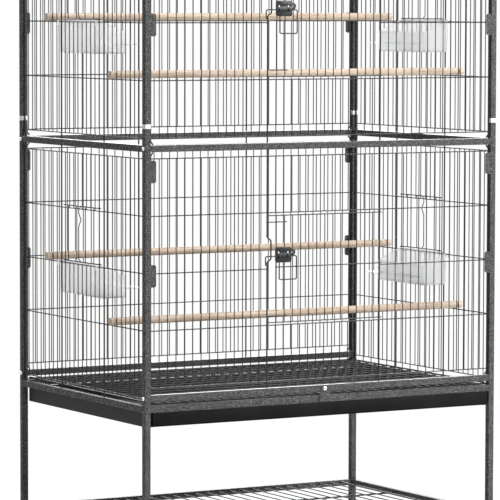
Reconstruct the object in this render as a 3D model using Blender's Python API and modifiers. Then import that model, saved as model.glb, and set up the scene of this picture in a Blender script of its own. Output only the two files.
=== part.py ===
"""Two-storey bird cage on a stand, built in metres with +Z up.

The origin is on the floor under the middle of the cage and the doors face -Y.
"""
import math

import bmesh
import bpy
from mathutils import Matrix, Vector

# Frame
TUBE = 0.0127            # square tube, outer size
TUBE_WALL = 0.0009
TUBE_CORNER = 0.0016
INNER_WIDTH = 0.762      # between the posts, along X
INNER_DEPTH = 0.508      # between the posts, along Y
STOREY_HEIGHT = 0.4572   # clear height between rails
BASE_Z = 0.400           # top of the front base rail
SLOT_GAP = 0.0075        # gap between the two base rails
LEG_BOTTOM_Z = 0.060
SHELF_TOP_Z = 0.1268
COLLAR_RISE = 0.0305     # collar above the middle rail
COLLAR_HEIGHT = 0.0092
COLLAR_OVERHANG = 0.0003
COLLAR_STUB = 0.012
GAP = 0.0003             # between pieces that touch

# Hook plates welded on the posts
PLATE_WIDTH = 0.0115
PLATE_HEIGHT = 0.0425
PLATE_THICK = 0.0015
PLATE_SET_BACK = 0.0004
PLATE_CORNER = 0.004
PLATE_DROPS = (0.0495, 0.2453)   # plate centres below the storey's top rail

# Wire panels
THIN_WIRE = 0.0019
CROSS_WIRE = 0.0023
THICK_WIRE = 0.0030
FRONT_SPACES = 42
SIDE_SPACES = 28
FRONT_THICK = (14, 28)
SIDE_THICK = (9, 19)
PANEL_INSET = 0.0050     # wire plane to the frame's outer face
ROWS = 5
ROW_MARGIN = 0.01265     # first cross wire to the rail
DOOR_ROWS = (1, 3)
FEEDER_ROWS = (1, 2)
FEEDER_GUIDES = (10, 18)
FOOT_SPLAY = 0.005
FOOT_HEIGHT = 0.007
WELD_DEPTH = 0.0006      # how deep welded wires sink into each other

# Front doors
DOOR_STAND_OFF = 0.0029  # door plane in front of the wire plane
DOOR_EDGE_GAP = 0.0055   # door's top and bottom wire to the cross wires
DOOR_MID_RISE = 0.0035
EYE_CLOSE = 0.4          # how far an eye's last run reaches back to its bar
DOOR_HOOK_DEPTH = 0.0125
DOOR_HOOK_PAST = 0.0026
DOOR_HOOK_LENGTH = 0.041
KEEPER_JOG = 0.0085
KEEPER_TOP = 0.0606
KEEPER_BOTTOM = 0.0129
KEEPER_RAMP = 0.0060

# Latches
LATCH_PLATE_WIDTH = 0.0364
LATCH_PLATE_HEIGHT = 0.030
LATCH_PLATE_THICK = 0.0012
LATCH_PLATE_CORNER = 0.005
LATCH_PLATE_OFFSET = 0.0148      # keeper wire to the plate's edge
LATCH_HOLE = 0.0036
LATCH_HOLE_INSET = 0.0080
LATCH_HOLE_RISE = 0.0045         # holes above the plate's middle
LATCH_PLATE_RISE = 0.0025        # plate's middle above the bolt
BOLT_WIRE = 0.0024
BOLT_RISE = 0.0245               # bolt above the door's third cross wire
BOLT_TIP_PAST = 0.0075
BOLT_TIP_DROP = 0.0175
BOLT_LOOP_LEFT = 0.0228
BOLT_LOOP_RIGHT = 0.061
BOLT_LOOP_DROP = 0.045
STRAP_WIDTH = 0.004
STRAP_WALL = 0.0011
BOLT_CLEARANCE = 0.0004

# Feeder doors
FEEDER_STAND_OFF = 0.00275
FEEDER_BAR_RISE = 0.0056
FEEDER_HANDLE_OUT = 0.0052
FEEDER_KINK_HEIGHT = 0.027
FEEDER_KINK_DROP = 0.007

# Cups
CUP_LENGTH = 0.178
CUP_DEPTH = 0.057
CUP_HEIGHT = 0.0645
CUP_LOW_HEIGHT = 0.040           # wall towards the cage
CUP_WALL = 0.0016
CUP_RISE = 0.0035                # outer wall above its cross wire
CUP_LIP_WIDTH = 0.030
CUP_LIP_THICK = 0.0016
CUP_LIP_RISE = 0.018             # landing lip above the bottom
CUP_LIP_CORNER = 0.009
CUP_HOOK_WIDTH = 0.007
CUP_HOOK_THICK = 0.0016
CUP_HOOK_LEG = 0.007
CUP_HOOK_SPACES = (8, 17)        # spaces between the wall's wires that the hooks use

# Perches
PERCH_DIAMETER = 0.0150
PERCH_PAST = 0.010
PERCH_SPACE = 6          # wires from the post to the perch

# Base
GRATE_WIRE = 0.0024
GRATE_FRAME_WIRE = 0.0034
GRATE_SPACES = 36
GRATE_CROSS_SPACES = 16
GRATE_SIDE_CLEAR = 0.0025
GRATE_SLOT_DEPTH = 0.004         # how far the grate lies over the rails
TRAY_HEIGHT = 0.0270
TRAY_WALL = 0.0016
TRAY_CLEAR = 0.0008
RUNNER_WALL = 0.0010
RUNNER_LIP = 0.008
LOCK_WIDTH = 0.026
LOCK_HEIGHT = 0.030
LOCK_THICK = 0.0012
LOCK_CORNER = 0.003
LOCK_SHOULDER = 0.008
LOCK_NOSE = 0.009
LOCK_PIVOT_DROP = 0.0066
LOCK_PIVOT_INSET = 0.005         # pivot below the tab's top
LOCK_PIVOT_OFFSET = -0.0005
SCREW_RADIUS = 0.0017
SCREW_HEAD_RADIUS = 0.0034
SCREW_HEAD_HEIGHT = 0.0018

# Shelf and roof
SHELF_SPACES = 28
SHELF_CROSS = 2
ROOF_SPACES = 28
ROOF_CROSS = 2
GRILLE_WIRE = 0.0024
GRILLE_STRONG_WIRE = 0.0036

# Casters
WHEEL_DIAMETER = 0.050
WHEEL_WIDTH = 0.018
WHEEL_TREAD_EDGE = 0.003
WHEEL_RIM = 0.006                # depth of the tyre
WHEEL_WEB_INSET = 0.003
WHEEL_SIDES = 16
CASTER_TRAIL = 0.020
FORK_WALL = 0.0016
FORK_SIDE_CLEAR = 0.0014
FORK_TOP_CLEAR = 0.004
FORK_WIDTH = 0.020
FORK_FOOT_WIDTH = 0.013
FORK_FOOT_DROP = 0.005
AXLE_RADIUS = 0.0030
AXLE_BORE_CLEAR = 0.0004
AXLE_PAST = 0.001
STEM_CLEAR = 0.0004
STEM_LENGTH = 0.030
STEM_COLLAR_RADIUS = 0.0095

# Colours
HAMMERTONE = ((0.115, 0.118, 0.115, 1.0), 0.45, 0.55)
WIRE_GREY = ((0.055, 0.057, 0.057, 1.0), 0.40, 0.60)
TRAY_BLACK = ((0.016, 0.016, 0.016, 1.0), 0.35, 0.0)
CUP_WHITE = ((0.86, 0.87, 0.89, 1.0), 0.30, 0.0)
COLLAR_WHITE = ((0.88, 0.90, 0.90, 1.0), 0.40, 0.0)
WOOD = ((0.70, 0.54, 0.38, 1.0), 0.60, 0.0)
WHEEL_BLACK = ((0.020, 0.020, 0.021, 1.0), 0.55, 0.0)
ZINC = ((0.70, 0.70, 0.72, 1.0), 0.30, 1.0)

# Values that follow from the sizes above
POST_X = (INNER_WIDTH + TUBE) / 2
POST_Y = (INNER_DEPTH + TUBE) / 2
OUTER_X = INNER_WIDTH / 2 + TUBE
OUTER_Y = INNER_DEPTH / 2 + TUBE
STOREY_PITCH = STOREY_HEIGHT + TUBE
MID_RAIL_Z = BASE_Z + STOREY_PITCH
TOP_Z = MID_RAIL_Z + STOREY_PITCH
LOWER_RAIL_Z = BASE_Z - TUBE - SLOT_GAP
LOWER_RAIL_BOTTOM_Z = LOWER_RAIL_Z - TUBE
THIN = THIN_WIRE / 2
CROSS = CROSS_WIRE / 2
THICK = THICK_WIRE / 2
END_INSET = THICK + COLLAR_OVERHANG + GAP   # first wire to the post's face
BACK_W = -(THIN + CROSS + GAP)          # cross wires behind the upright wires
THICK_W = WELD_DEPTH - THICK            # thick wires touch both layers
PLATE_W = DOOR_STAND_OFF + THIN - WELD_DEPTH / 2 + LATCH_PLATE_THICK / 2
BOLT_W = PLATE_W + LATCH_PLATE_THICK / 2 + BOLT_CLEARANCE + BOLT_WIRE / 2

LONG_RUN = 0.020         # straight runs of a bent wire that keep their full width
MICRON_DIGITS = 6        # places that moved points are rounded to
PARTS = None
CUTTERS = None


def clear_scene():
    for obj in list(bpy.data.objects):
        bpy.data.objects.remove(obj, do_unlink=True)


def make_collections():
    global PARTS, CUTTERS
    PARTS = bpy.data.collections.new("bird_cage")
    CUTTERS = bpy.data.collections.new("bird_cage_cutters")
    bpy.context.scene.collection.children.link(PARTS)
    bpy.context.scene.collection.children.link(CUTTERS)


def make_material(name, look):
    colour, roughness, metallic = look
    mat = bpy.data.materials.new(name)
    mat.use_nodes = True
    shader = mat.node_tree.nodes["Principled BSDF"]
    shader.inputs["Base Color"].default_value = colour
    shader.inputs["Roughness"].default_value = roughness
    shader.inputs["Metallic"].default_value = metallic
    mat.diffuse_color = colour
    return mat


def finish_piece(obj, look):
    """Give a finished piece its own material."""
    mat = make_material(obj.name + "_material", look)
    obj.data.materials.clear()
    obj.data.materials.append(mat)
    return obj


def object_from_bmesh(name, bm):
    mesh = bpy.data.meshes.new(name)
    bm.normal_update()
    bm.to_mesh(mesh)
    bm.free()
    obj = bpy.data.objects.new(name, mesh)
    PARTS.objects.link(obj)
    return obj


def evaluated_mesh(obj):
    depsgraph = bpy.context.evaluated_depsgraph_get()
    depsgraph.update()
    return bpy.data.meshes.new_from_object(obj.evaluated_get(depsgraph))


def mesh_from_curve(obj):
    """Turn a curve object into a mesh object with welded caps."""
    name = obj.name
    matrix = obj.matrix_world.copy()
    mesh = evaluated_mesh(obj)
    bm = bmesh.new()
    bm.from_mesh(mesh)
    bpy.data.meshes.remove(mesh)
    bmesh.ops.remove_doubles(bm, verts=bm.verts, dist=1e-6)
    bpy.data.objects.remove(obj, do_unlink=True)
    result = object_from_bmesh(name, bm)
    result.matrix_world = matrix
    return result


def boolean(target, tool, operation):
    """Apply one exact Boolean and remove the tool."""
    PARTS.objects.unlink(tool)
    CUTTERS.objects.link(tool)
    tool.hide_render = True
    tool.display_type = "WIRE"
    modifier = target.modifiers.new(operation.lower(), "BOOLEAN")
    modifier.operation = operation
    modifier.solver = "EXACT"
    modifier.object = tool
    mesh = evaluated_mesh(target)
    target.modifiers.clear()
    old = target.data
    target.data = mesh
    bpy.data.meshes.remove(old)
    bpy.data.objects.remove(tool, do_unlink=True)
    return target


def union(target, *tools):
    for tool in tools:
        boolean(target, tool, "UNION")
    return target


def cut(target, *tools):
    for tool in tools:
        boolean(target, tool, "DIFFERENCE")
    return target


def add_box(bm, low, high):
    low = Vector(low)
    high = Vector(high)
    size = high - low
    matrix = Matrix.Translation((low + high) / 2) @ Matrix.Diagonal((*size, 1.0))
    bmesh.ops.create_cube(bm, size=1.0, matrix=matrix)


def box_object(name, low, high):
    bm = bmesh.new()
    add_box(bm, [min(a, b) for a, b in zip(low, high)], [max(a, b) for a, b in zip(low, high)])
    return object_from_bmesh(name, bm)


def add_bar(bm, start, end, half):
    """A square bar between two points on a line along X, Y or Z."""
    spread = [half if abs(a - b) < GAP else 0.0 for a, b in zip(start, end)]
    low = [min(a, b) - extra for a, b, extra in zip(start, end, spread)]
    high = [max(a, b) + extra for a, b, extra in zip(start, end, spread)]
    add_box(bm, low, high)


def rod_object(name, start, end, radius, sides):
    """A closed round rod between two points."""
    start = Vector(start)
    end = Vector(end)
    span = end - start
    turn = span.to_track_quat("Z", "Y").to_matrix().to_4x4()
    bm = bmesh.new()
    bmesh.ops.create_cone(
        bm, cap_ends=True, segments=sides, radius1=radius, radius2=radius,
        depth=span.length, matrix=Matrix.Translation((start + end) / 2) @ turn)
    return object_from_bmesh(name, bm)


def add_run_ins(points, reach):
    """Add a point beside each bend of a long run, which keeps the run's full width."""
    result = [points[0]]
    for index in range(1, len(points)):
        start = points[index - 1]
        end = points[index]
        step = (end - start).normalized() * reach
        if (end - start).length > LONG_RUN:
            if index > 1:
                result.append(start + step)
            if index < len(points) - 1:
                result.append(end - step)
        result.append(end)
    return result


def wire_object(name, points, radius, square=True):
    """A bent wire along straight runs, square in section or six-sided."""
    points = add_run_ins([Vector(point) for point in points], 2 * radius)
    curve = bpy.data.curves.new(name, "CURVE")
    curve.dimensions = "3D"
    curve.bevel_depth = radius * math.sqrt(2) if square else radius
    curve.bevel_resolution = 0 if square else 1
    curve.use_fill_caps = True
    spline = curve.splines.new("POLY")
    spline.points.add(len(points) - 1)
    for point, position in zip(spline.points, points):
        point.co = (*position, 1.0)
        point.tilt = math.pi / 4 if square else 0.0
    obj = bpy.data.objects.new(name, curve)
    PARTS.objects.link(obj)
    return transform(mesh_from_curve(obj), Matrix.Identity(4))


def plate_object(name, outlines, thickness):
    """A flat plate in the XY plane, centred on z = 0, from closed outlines."""
    curve = bpy.data.curves.new(name, "CURVE")
    curve.dimensions = "2D"
    curve.fill_mode = "BOTH"
    curve.extrude = thickness / 2
    for outline in outlines:
        spline = curve.splines.new("POLY")
        spline.points.add(len(outline) - 1)
        for point, (x, y) in zip(spline.points, outline):
            point.co = (x, y, 0.0, 1.0)
        spline.use_cyclic_u = True
    obj = bpy.data.objects.new(name, curve)
    PARTS.objects.link(obj)
    return mesh_from_curve(obj)


def cut_rectangle(width, height, corner):
    """Outline of a rectangle with its corners cut off."""
    x = width / 2
    y = height / 2
    right = [(x - corner, -y), (x, corner - y), (x, y - corner), (x - corner, y)]
    return right + [(-a, b) for a, b in reversed(right)]


def circle(radius, sides, centre=(0.0, 0.0)):
    step = 2 * math.pi / sides
    return [(centre[0] + radius * math.cos(step * i), centre[1] + radius * math.sin(step * i))
            for i in range(sides)]


def transform(obj, matrix):
    """Move a mesh and round its points, so that its flat faces stay truly flat."""
    obj.data.transform(matrix)
    for vert in obj.data.vertices:
        vert.co = [round(value, MICRON_DIGITS) for value in vert.co]
    obj.data.update()
    return obj


def frame_matrix(origin, x_axis, y_axis):
    """Matrix that takes local X and Y to the given world directions."""
    x_axis = Vector(x_axis).normalized()
    y_axis = Vector(y_axis).normalized()
    z_axis = x_axis.cross(y_axis)
    matrix = Matrix((x_axis, y_axis, z_axis)).transposed().to_4x4()
    matrix.translation = Vector(origin)
    return matrix


def tube_object(name, start, end):
    """An open square tube between two points along one world axis."""
    start = Vector(start)
    end = Vector(end)
    span = end - start
    outer = cut_rectangle(TUBE, TUBE, TUBE_CORNER)
    bore = TUBE / 2 - TUBE_WALL
    inner = [(bore, -bore), (bore, bore), (-bore, bore), (-bore, -bore)]
    obj = plate_object(name, [outer, inner], span.length)
    axis = span.normalized()
    side = Vector((0, 0, 1)) if abs(axis.z) < 0.5 else Vector((1, 0, 0))
    return transform(obj, frame_matrix((start + end) / 2, side, axis.cross(side)))


def at(u, v, w):
    """A point in a wall's own frame: u along it, v up and w outwards."""
    return Vector((u, -w, v))


class Side:
    """One wall of the cage, turned about Z from the front."""

    def __init__(self, name, turn, half_length, half_outer, spaces, thick):
        self.name = name
        self.turn = math.radians(turn)
        self.half = half_length - END_INSET
        self.plane = half_outer - PANEL_INSET
        self.spaces = spaces
        self.thick = thick

    def wire(self, index):
        return -self.half + 2 * self.half * index / self.spaces

    def place(self, obj, base_z, origin):
        """Stand a piece on this wall, with its origin at a point of its own frame."""
        origin = Vector(origin)
        obj.data.transform(Matrix.Translation(-origin))
        turn = Matrix.Rotation(self.turn, 4, "Z")
        obj.location = turn @ (origin + Vector((0.0, -self.plane, base_z)))
        obj.rotation_euler = (0.0, 0.0, self.turn)


FRONT = Side("front", 0, INNER_WIDTH / 2, OUTER_Y, FRONT_SPACES, FRONT_THICK)
REAR = Side("rear", 180, INNER_WIDTH / 2, OUTER_Y, FRONT_SPACES, FRONT_THICK)
LEFT = Side("left", -90, INNER_DEPTH / 2, OUTER_X, SIDE_SPACES, SIDE_THICK)
RIGHT = Side("right", 90, INNER_DEPTH / 2, OUTER_X, SIDE_SPACES, SIDE_THICK)


def row_heights(floor):
    """Heights of the five cross wires above the storey's floor level, top first."""
    first = STOREY_HEIGHT - ROW_MARGIN
    usual = STOREY_HEIGHT - 2 * ROW_MARGIN
    rows = [first - usual * i / (ROWS - 1) for i in range(ROWS - 1)]
    return rows + [floor + ROW_MARGIN]


LOWER_SIDE_FLOOR = LOWER_RAIL_Z - BASE_Z
FRONT_ROWS = row_heights(0.0)
LOWER_SIDE_ROWS = row_heights(LOWER_SIDE_FLOOR)


def foot_points(u, inward, low, high):
    """An end wire whose feet splay away from the post."""
    lift = THICK * FOOT_SPLAY / math.hypot(FOOT_SPLAY, FOOT_HEIGHT)
    return [
        at(u + inward * FOOT_SPLAY, low + lift, THICK_W),
        at(u, low + FOOT_HEIGHT, THICK_W),
        at(u, high - FOOT_HEIGHT, THICK_W),
        at(u + inward * FOOT_SPLAY, high - lift, THICK_W),
    ]


def thick_points(side, index, low, high, keeper_z):
    """A thick upright wire, with the keeper jog beside a front door."""
    u = side.wire(index)
    points = [at(u, low, THICK_W)]
    if keeper_z is not None:
        points.append(at(u, keeper_z + KEEPER_BOTTOM, THICK_W))
        points.append(at(u + KEEPER_JOG, keeper_z + KEEPER_BOTTOM + KEEPER_RAMP, THICK_W))
        points.append(at(u + KEEPER_JOG, keeper_z + KEEPER_TOP - KEEPER_RAMP, THICK_W))
        points.append(at(u, keeper_z + KEEPER_TOP, THICK_W))
    points.append(at(u, high, THICK_W))
    return points


def build_panel(name, side, base_z, rows, floor, opening_rows=None, cut_wires=()):
    """A welded wire wall, with an opening between two rows where one is given."""
    low = floor + GAP
    high = STOREY_HEIGHT - GAP
    first = side.wire(0)
    last = side.wire(side.spaces)
    left_u, right_u = (side.wire(index) for index in side.thick)
    bars = bmesh.new()
    for index in (0, ROWS - 1):
        add_bar(bars, at(first, rows[index], 0), at(last, rows[index], 0), CROSS)
    for index in range(1, ROWS - 1):
        z = rows[index]
        if opening_rows is None or not opening_rows[0] <= index <= opening_rows[1]:
            add_bar(bars, at(first, z, BACK_W), at(last, z, BACK_W), CROSS)
            continue
        add_bar(bars, at(first, z, BACK_W), at(left_u - GAP, z, BACK_W), CROSS)
        add_bar(bars, at(right_u + GAP, z, BACK_W), at(last, z, BACK_W), CROSS)
        if index in opening_rows:
            add_bar(bars, at(left_u + GAP, z, 0), at(right_u - GAP, z, 0), CROSS)
    panel = object_from_bmesh(name, bars)
    uprights = bmesh.new()
    for index in range(1, side.spaces):
        if index in side.thick:
            continue
        u = side.wire(index)
        if index in cut_wires:
            spans = ((rows[0], rows[opening_rows[0]]), (rows[opening_rows[1]], rows[-1]))
        else:
            spans = ((rows[0], rows[-1]),)
        for top, bottom in spans:
            add_bar(uprights, at(u, bottom, 0), at(u, top, 0), THIN)
    union(panel, object_from_bmesh(name + "_uprights", uprights))
    keeper_z = rows[2] if side is FRONT else None
    posts = [
        wire_object(name + "_end_a", foot_points(first, 1, low, high), THICK),
        wire_object(name + "_end_b", foot_points(last, -1, low, high), THICK),
        wire_object(name + "_thick_a", thick_points(side, side.thick[0], low, high, keeper_z), THICK),
        wire_object(name + "_thick_b", thick_points(side, side.thick[1], low, high, None), THICK),
    ]
    union(panel, *posts)
    side.place(panel, base_z, (0.0, 0.0, 0.0))
    return finish_piece(panel, WIRE_GREY)


def build_panels():
    door_wires = range(FRONT_THICK[0] + 1, FRONT_THICK[1])
    feeder_wires = range(FEEDER_GUIDES[0] + 1, FEEDER_GUIDES[1])
    for storey, base_z, side_rows, floor in (("lower", BASE_Z, LOWER_SIDE_ROWS, LOWER_SIDE_FLOOR),
                                             ("upper", MID_RAIL_Z, FRONT_ROWS, 0.0)):
        name = "panel_" + storey + "_"
        build_panel(name + "front", FRONT, base_z, FRONT_ROWS, 0.0, DOOR_ROWS, door_wires)
        build_panel(name + "rear", REAR, base_z, FRONT_ROWS, 0.0)
        for side in (LEFT, RIGHT):
            build_panel(name + side.name, side, base_z, side_rows, floor, FEEDER_ROWS, feeder_wires)


def eye_points(u, z, w, wire_w, direction, corners):
    """The loop that a bar in the plane w bends round an upright wire."""
    reach = (w - wire_w) / math.cos(math.pi / corners)
    turn = 2 * math.pi / corners

    def corner(step):
        angle = math.pi / 2 - turn * (step + 0.5)
        return at(u + direction * reach * math.cos(angle), z, wire_w + reach * math.sin(angle))

    points = [corner(step) for step in range(corners - 1)]
    last = points[-1]
    return points + [last + (corner(corners - 1) - last) * EYE_CLOSE]


def build_door(name, base_z, rows):
    """A wire door hung by eyes on the right thick wire, with its latch plate."""
    hinge_u = FRONT.wire(FRONT_THICK[1])
    keeper_u = FRONT.wire(FRONT_THICK[0])
    top = rows[DOOR_ROWS[0]] - DOOR_EDGE_GAP
    bottom = rows[DOOR_ROWS[1]] + DOOR_EDGE_GAP
    middle = rows[2] + DOOR_MID_RISE
    left_u = keeper_u - DOOR_HOOK_PAST
    w = DOOR_STAND_OFF
    bend = DOOR_HOOK_DEPTH / 4
    bars = []
    for label, z, turn in (("top", top, -1), ("bottom", bottom, 1)):
        hook = [(left_u + bend, z), (left_u, z + turn * bend),
                (left_u, z + turn * (DOOR_HOOK_DEPTH - bend)),
                (left_u + bend, z + turn * DOOR_HOOK_DEPTH),
                (keeper_u + DOOR_HOOK_LENGTH, z + turn * DOOR_HOOK_DEPTH)]
        points = eye_points(hinge_u, z, w, THICK_W, 1, 6)[::-1]
        points += [at(u, v, w) for u, v in hook]
        bars.append(wire_object(name + "_" + label, points, CROSS))
    first_wire = FRONT.wire(FRONT_THICK[0] + 1)
    points = [at(first_wire - THIN_WIRE, middle, w)]
    points += eye_points(hinge_u, middle, w, THICK_W, 1, 6)
    bars.append(wire_object(name + "_middle", points, CROSS))
    uprights = bmesh.new()
    for index in range(FRONT_THICK[0] + 1, FRONT_THICK[1]):
        u = FRONT.wire(index)
        add_bar(uprights, at(u, bottom - WELD_DEPTH / 2, w),
                at(u, top + WELD_DEPTH / 2, w), THIN)
    door = object_from_bmesh(name, uprights)
    union(door, *bars)
    union(door, latch_plate(name + "_plate", rows[2], keeper_u))
    FRONT.place(door, base_z, at(hinge_u, bottom, THICK_W))
    return finish_piece(door, WIRE_GREY)


def latch_plate(name, row_z, keeper_u):
    """The rounded plate with two holes and two straps for the bolt."""
    centre_u = keeper_u + LATCH_PLATE_OFFSET + LATCH_PLATE_WIDTH / 2
    centre_z = row_z + BOLT_RISE + LATCH_PLATE_RISE
    hole_u = LATCH_PLATE_WIDTH / 2 - LATCH_HOLE_INSET
    holes = [circle(LATCH_HOLE / 2, 6, (sign * hole_u, LATCH_HOLE_RISE)) for sign in (-1, 1)]
    outline = cut_rectangle(LATCH_PLATE_WIDTH, LATCH_PLATE_HEIGHT, LATCH_PLATE_CORNER)
    plate = plate_object(name, [outline] + holes, LATCH_PLATE_THICK)
    transform(plate, frame_matrix(at(centre_u, centre_z, PLATE_W), (1, 0, 0), (0, 0, 1)))
    bolt_z = row_z + BOLT_RISE
    reach = BOLT_WIRE / 2 + BOLT_CLEARANCE
    for sign in (-1, 1):
        u = centre_u + sign * hole_u
        low = at(u - STRAP_WIDTH / 2, bolt_z - reach - STRAP_WALL, PLATE_W)
        high = at(u + STRAP_WIDTH / 2, bolt_z + reach + STRAP_WALL,
                        BOLT_W + reach + STRAP_WALL)
        union(plate, box_object(name + "_strap", low, high))
    bore = rod_object(name + "_bore", at(centre_u - LATCH_PLATE_WIDTH, bolt_z, BOLT_W),
                      at(centre_u + LATCH_PLATE_WIDTH, bolt_z, BOLT_W), reach, 8)
    return cut(plate, bore)


def build_latch(name, base_z, rows):
    """The bolt and its hanging loop, bent from one wire."""
    keeper_u = FRONT.wire(FRONT_THICK[0])
    bolt_z = rows[2] + BOLT_RISE
    left = keeper_u - BOLT_TIP_PAST
    loop_left = keeper_u + BOLT_LOOP_LEFT
    loop_right = keeper_u + BOLT_LOOP_RIGHT
    bottom = bolt_z - BOLT_LOOP_DROP
    loop_top = bolt_z + LATCH_PLATE_RISE - LATCH_PLATE_HEIGHT / 2
    points = [(left, bolt_z - BOLT_TIP_DROP), (left, bolt_z - BOLT_WIRE), (left + BOLT_WIRE, bolt_z),
              (loop_right - BOLT_WIRE, bolt_z), (loop_right, bolt_z - BOLT_WIRE),
              (loop_right, bottom + BOLT_WIRE), (loop_right - BOLT_WIRE, bottom),
              (loop_left, bottom), (loop_left, loop_top)]
    latch = wire_object(name, [at(u, v, BOLT_W) for u, v in points], BOLT_WIRE / 2, False)
    FRONT.place(latch, base_z, at(left, bolt_z, BOLT_W))
    return finish_piece(latch, WIRE_GREY)


def build_feeder_door(name, side, base_z, rows):
    """A small wire door that slides up on two of the wall's wires."""
    low_u, high_u = (side.wire(index) for index in FEEDER_GUIDES)
    top = rows[FEEDER_ROWS[0]] + FEEDER_BAR_RISE
    bottom = rows[FEEDER_ROWS[1]] + FEEDER_BAR_RISE
    w = FEEDER_STAND_OFF
    centre = (FEEDER_GUIDES[0] + FEEDER_GUIDES[1]) // 2
    uprights = bmesh.new()
    for index in range(FEEDER_GUIDES[0] + 1, FEEDER_GUIDES[1], 2):
        u = side.wire(index)
        add_bar(uprights, at(u, bottom - WELD_DEPTH / 2, w),
                at(u, top + WELD_DEPTH / 2, w), THIN)
    door = object_from_bmesh(name, uprights)
    bars = []
    for z in (top, bottom):
        points = eye_points(low_u, z, w, 0, -1, 4)[::-1]
        points += eye_points(high_u, z, w, 0, 1, 4)
        bars.append(wire_object(name + "_bar", points, CROSS))
    out = w + FEEDER_HANDLE_OUT
    kink_top = top - FEEDER_KINK_DROP - FEEDER_BAR_RISE
    u = side.wire(centre)
    handle = wire_object(name + "_handle", [at(u, v, depth) for v, depth in (
        (bottom, w), (bottom + FEEDER_HANDLE_OUT, out), (kink_top - FEEDER_KINK_HEIGHT, out),
        (kink_top - FEEDER_KINK_HEIGHT / 2, w), (kink_top, out),
        (top - FEEDER_HANDLE_OUT, out), (top, w))], THIN)
    union(door, handle, *bars)
    side.place(door, base_z, at(0.0, bottom, w))
    return finish_piece(door, WIRE_GREY)


def build_cup(name, side, base_z, rows):
    """A plastic cup hooked over the wall's third cross wire."""
    row = rows[FEEDER_ROWS[1]]
    hook_places = [(side.wire(space) + side.wire(space + 1)) / 2 for space in CUP_HOOK_SPACES]
    middle = sum(hook_places) / 2
    outer_w = BACK_W - CROSS - 2 * GAP
    inner_w = outer_w - CUP_DEPTH
    top = row + CUP_RISE
    bottom = top - CUP_HEIGHT
    half = CUP_LENGTH / 2

    def box(label, u0, u1, v0, v1, w0, w1):
        return box_object(name + label, at(middle + u0, v0, w0), at(middle + u1, v1, w1))

    section = [(inner_w, bottom), (outer_w, bottom), (outer_w, top),
               (inner_w, bottom + CUP_LOW_HEIGHT)]
    cup = plate_object(name, [section], CUP_LENGTH)
    transform(cup, frame_matrix(at(middle, 0.0, 0.0), at(0.0, 0.0, 1.0), at(0.0, 1.0, 0.0)))
    reach = inner_w - CUP_LIP_WIDTH
    edge = [(half, inner_w + CUP_WALL / 2), (half, reach + CUP_LIP_CORNER),
            (half - CUP_LIP_CORNER, reach)]
    lip = plate_object(name + "_lip", [edge + [(-u, w) for u, w in reversed(edge)]],
                       CUP_LIP_THICK)
    transform(lip, frame_matrix(at(middle, bottom + CUP_LIP_RISE, 0.0), at(1.0, 0.0, 0.0),
                                at(0.0, 0.0, 1.0)))
    union(cup, lip)
    hook_under = row + CROSS + GAP
    hook_over = hook_under + CUP_HOOK_THICK
    leg_w = CROSS + GAP
    half_hook = CUP_HOOK_WIDTH / 2
    for place in hook_places:
        u = place - middle
        bridge = box("_bridge", u - half_hook, u + half_hook, hook_under, hook_over,
                     outer_w - CUP_HOOK_THICK / 2, leg_w + CUP_HOOK_THICK)
        leg = box("_leg", u - half_hook + GAP, u + half_hook - GAP, row - CUP_HOOK_LEG,
                  hook_over - GAP, leg_w, leg_w + CUP_HOOK_THICK)
        union(cup, bridge, leg)
    hollow = box("_hollow", -half + CUP_WALL, half - CUP_WALL, bottom + CUP_WALL, top + CUP_WALL,
                 inner_w + CUP_WALL, outer_w - CUP_WALL)
    cut(cup, hollow)
    side.place(cup, base_z, at(middle, bottom, outer_w))
    return finish_piece(cup, CUP_WHITE)


def build_perch(name, side_sign, row_z):
    """A round wooden rod that rests on a cross wire at both sides."""
    pitch = LEFT.wire(1) - LEFT.wire(0)
    y = side_sign * (LEFT.half - (PERCH_SPACE + 0.5) * pitch)
    z = row_z + CROSS + GAP + PERCH_DIAMETER / 2
    reach = OUTER_X - PANEL_INSET + THIN + PERCH_PAST
    perch = rod_object(name, (-reach, y, z), (reach, y, z), PERCH_DIAMETER / 2, 16)
    return finish_piece(perch, WOOD)


def set_origin(obj, point):
    """Put an object's origin at a world point without moving its shape."""
    point = Vector(point)
    obj.data.transform(Matrix.Translation(-point))
    obj.location = point


def build_posts():
    lower_top = MID_RAIL_Z + COLLAR_RISE
    upper_bottom = lower_top + COLLAR_HEIGHT
    bore = TUBE - 2 * TUBE_WALL
    for label, sx, sy in (("front_left", -1, -1), ("front_right", 1, -1),
                          ("rear_left", -1, 1), ("rear_right", 1, 1)):
        x = sx * POST_X
        y = sy * POST_Y
        lower = tube_object("post_lower_" + label, (x, y, LEG_BOTTOM_Z), (x, y, lower_top))
        add_hook_plates(lower, sx, sy, MID_RAIL_Z)
        finish_piece(lower, HAMMERTONE)
        upper = tube_object("post_upper_" + label, (x, y, upper_bottom), (x, y, TOP_Z))
        add_hook_plates(upper, sx, sy, TOP_Z)
        finish_piece(upper, HAMMERTONE)
        half = TUBE / 2 + COLLAR_OVERHANG
        collar = box_object("collar_" + label, (x - half, y - half, lower_top + GAP),
                            (x + half, y + half, upper_bottom - GAP))
        stub = bore / 2 - GAP
        union(collar, box_object("collar_stub", (x - stub, y - stub, lower_top - COLLAR_STUB),
                                 (x + stub, y + stub, upper_bottom + COLLAR_STUB)))
        finish_piece(collar, COLLAR_WHITE)


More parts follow.
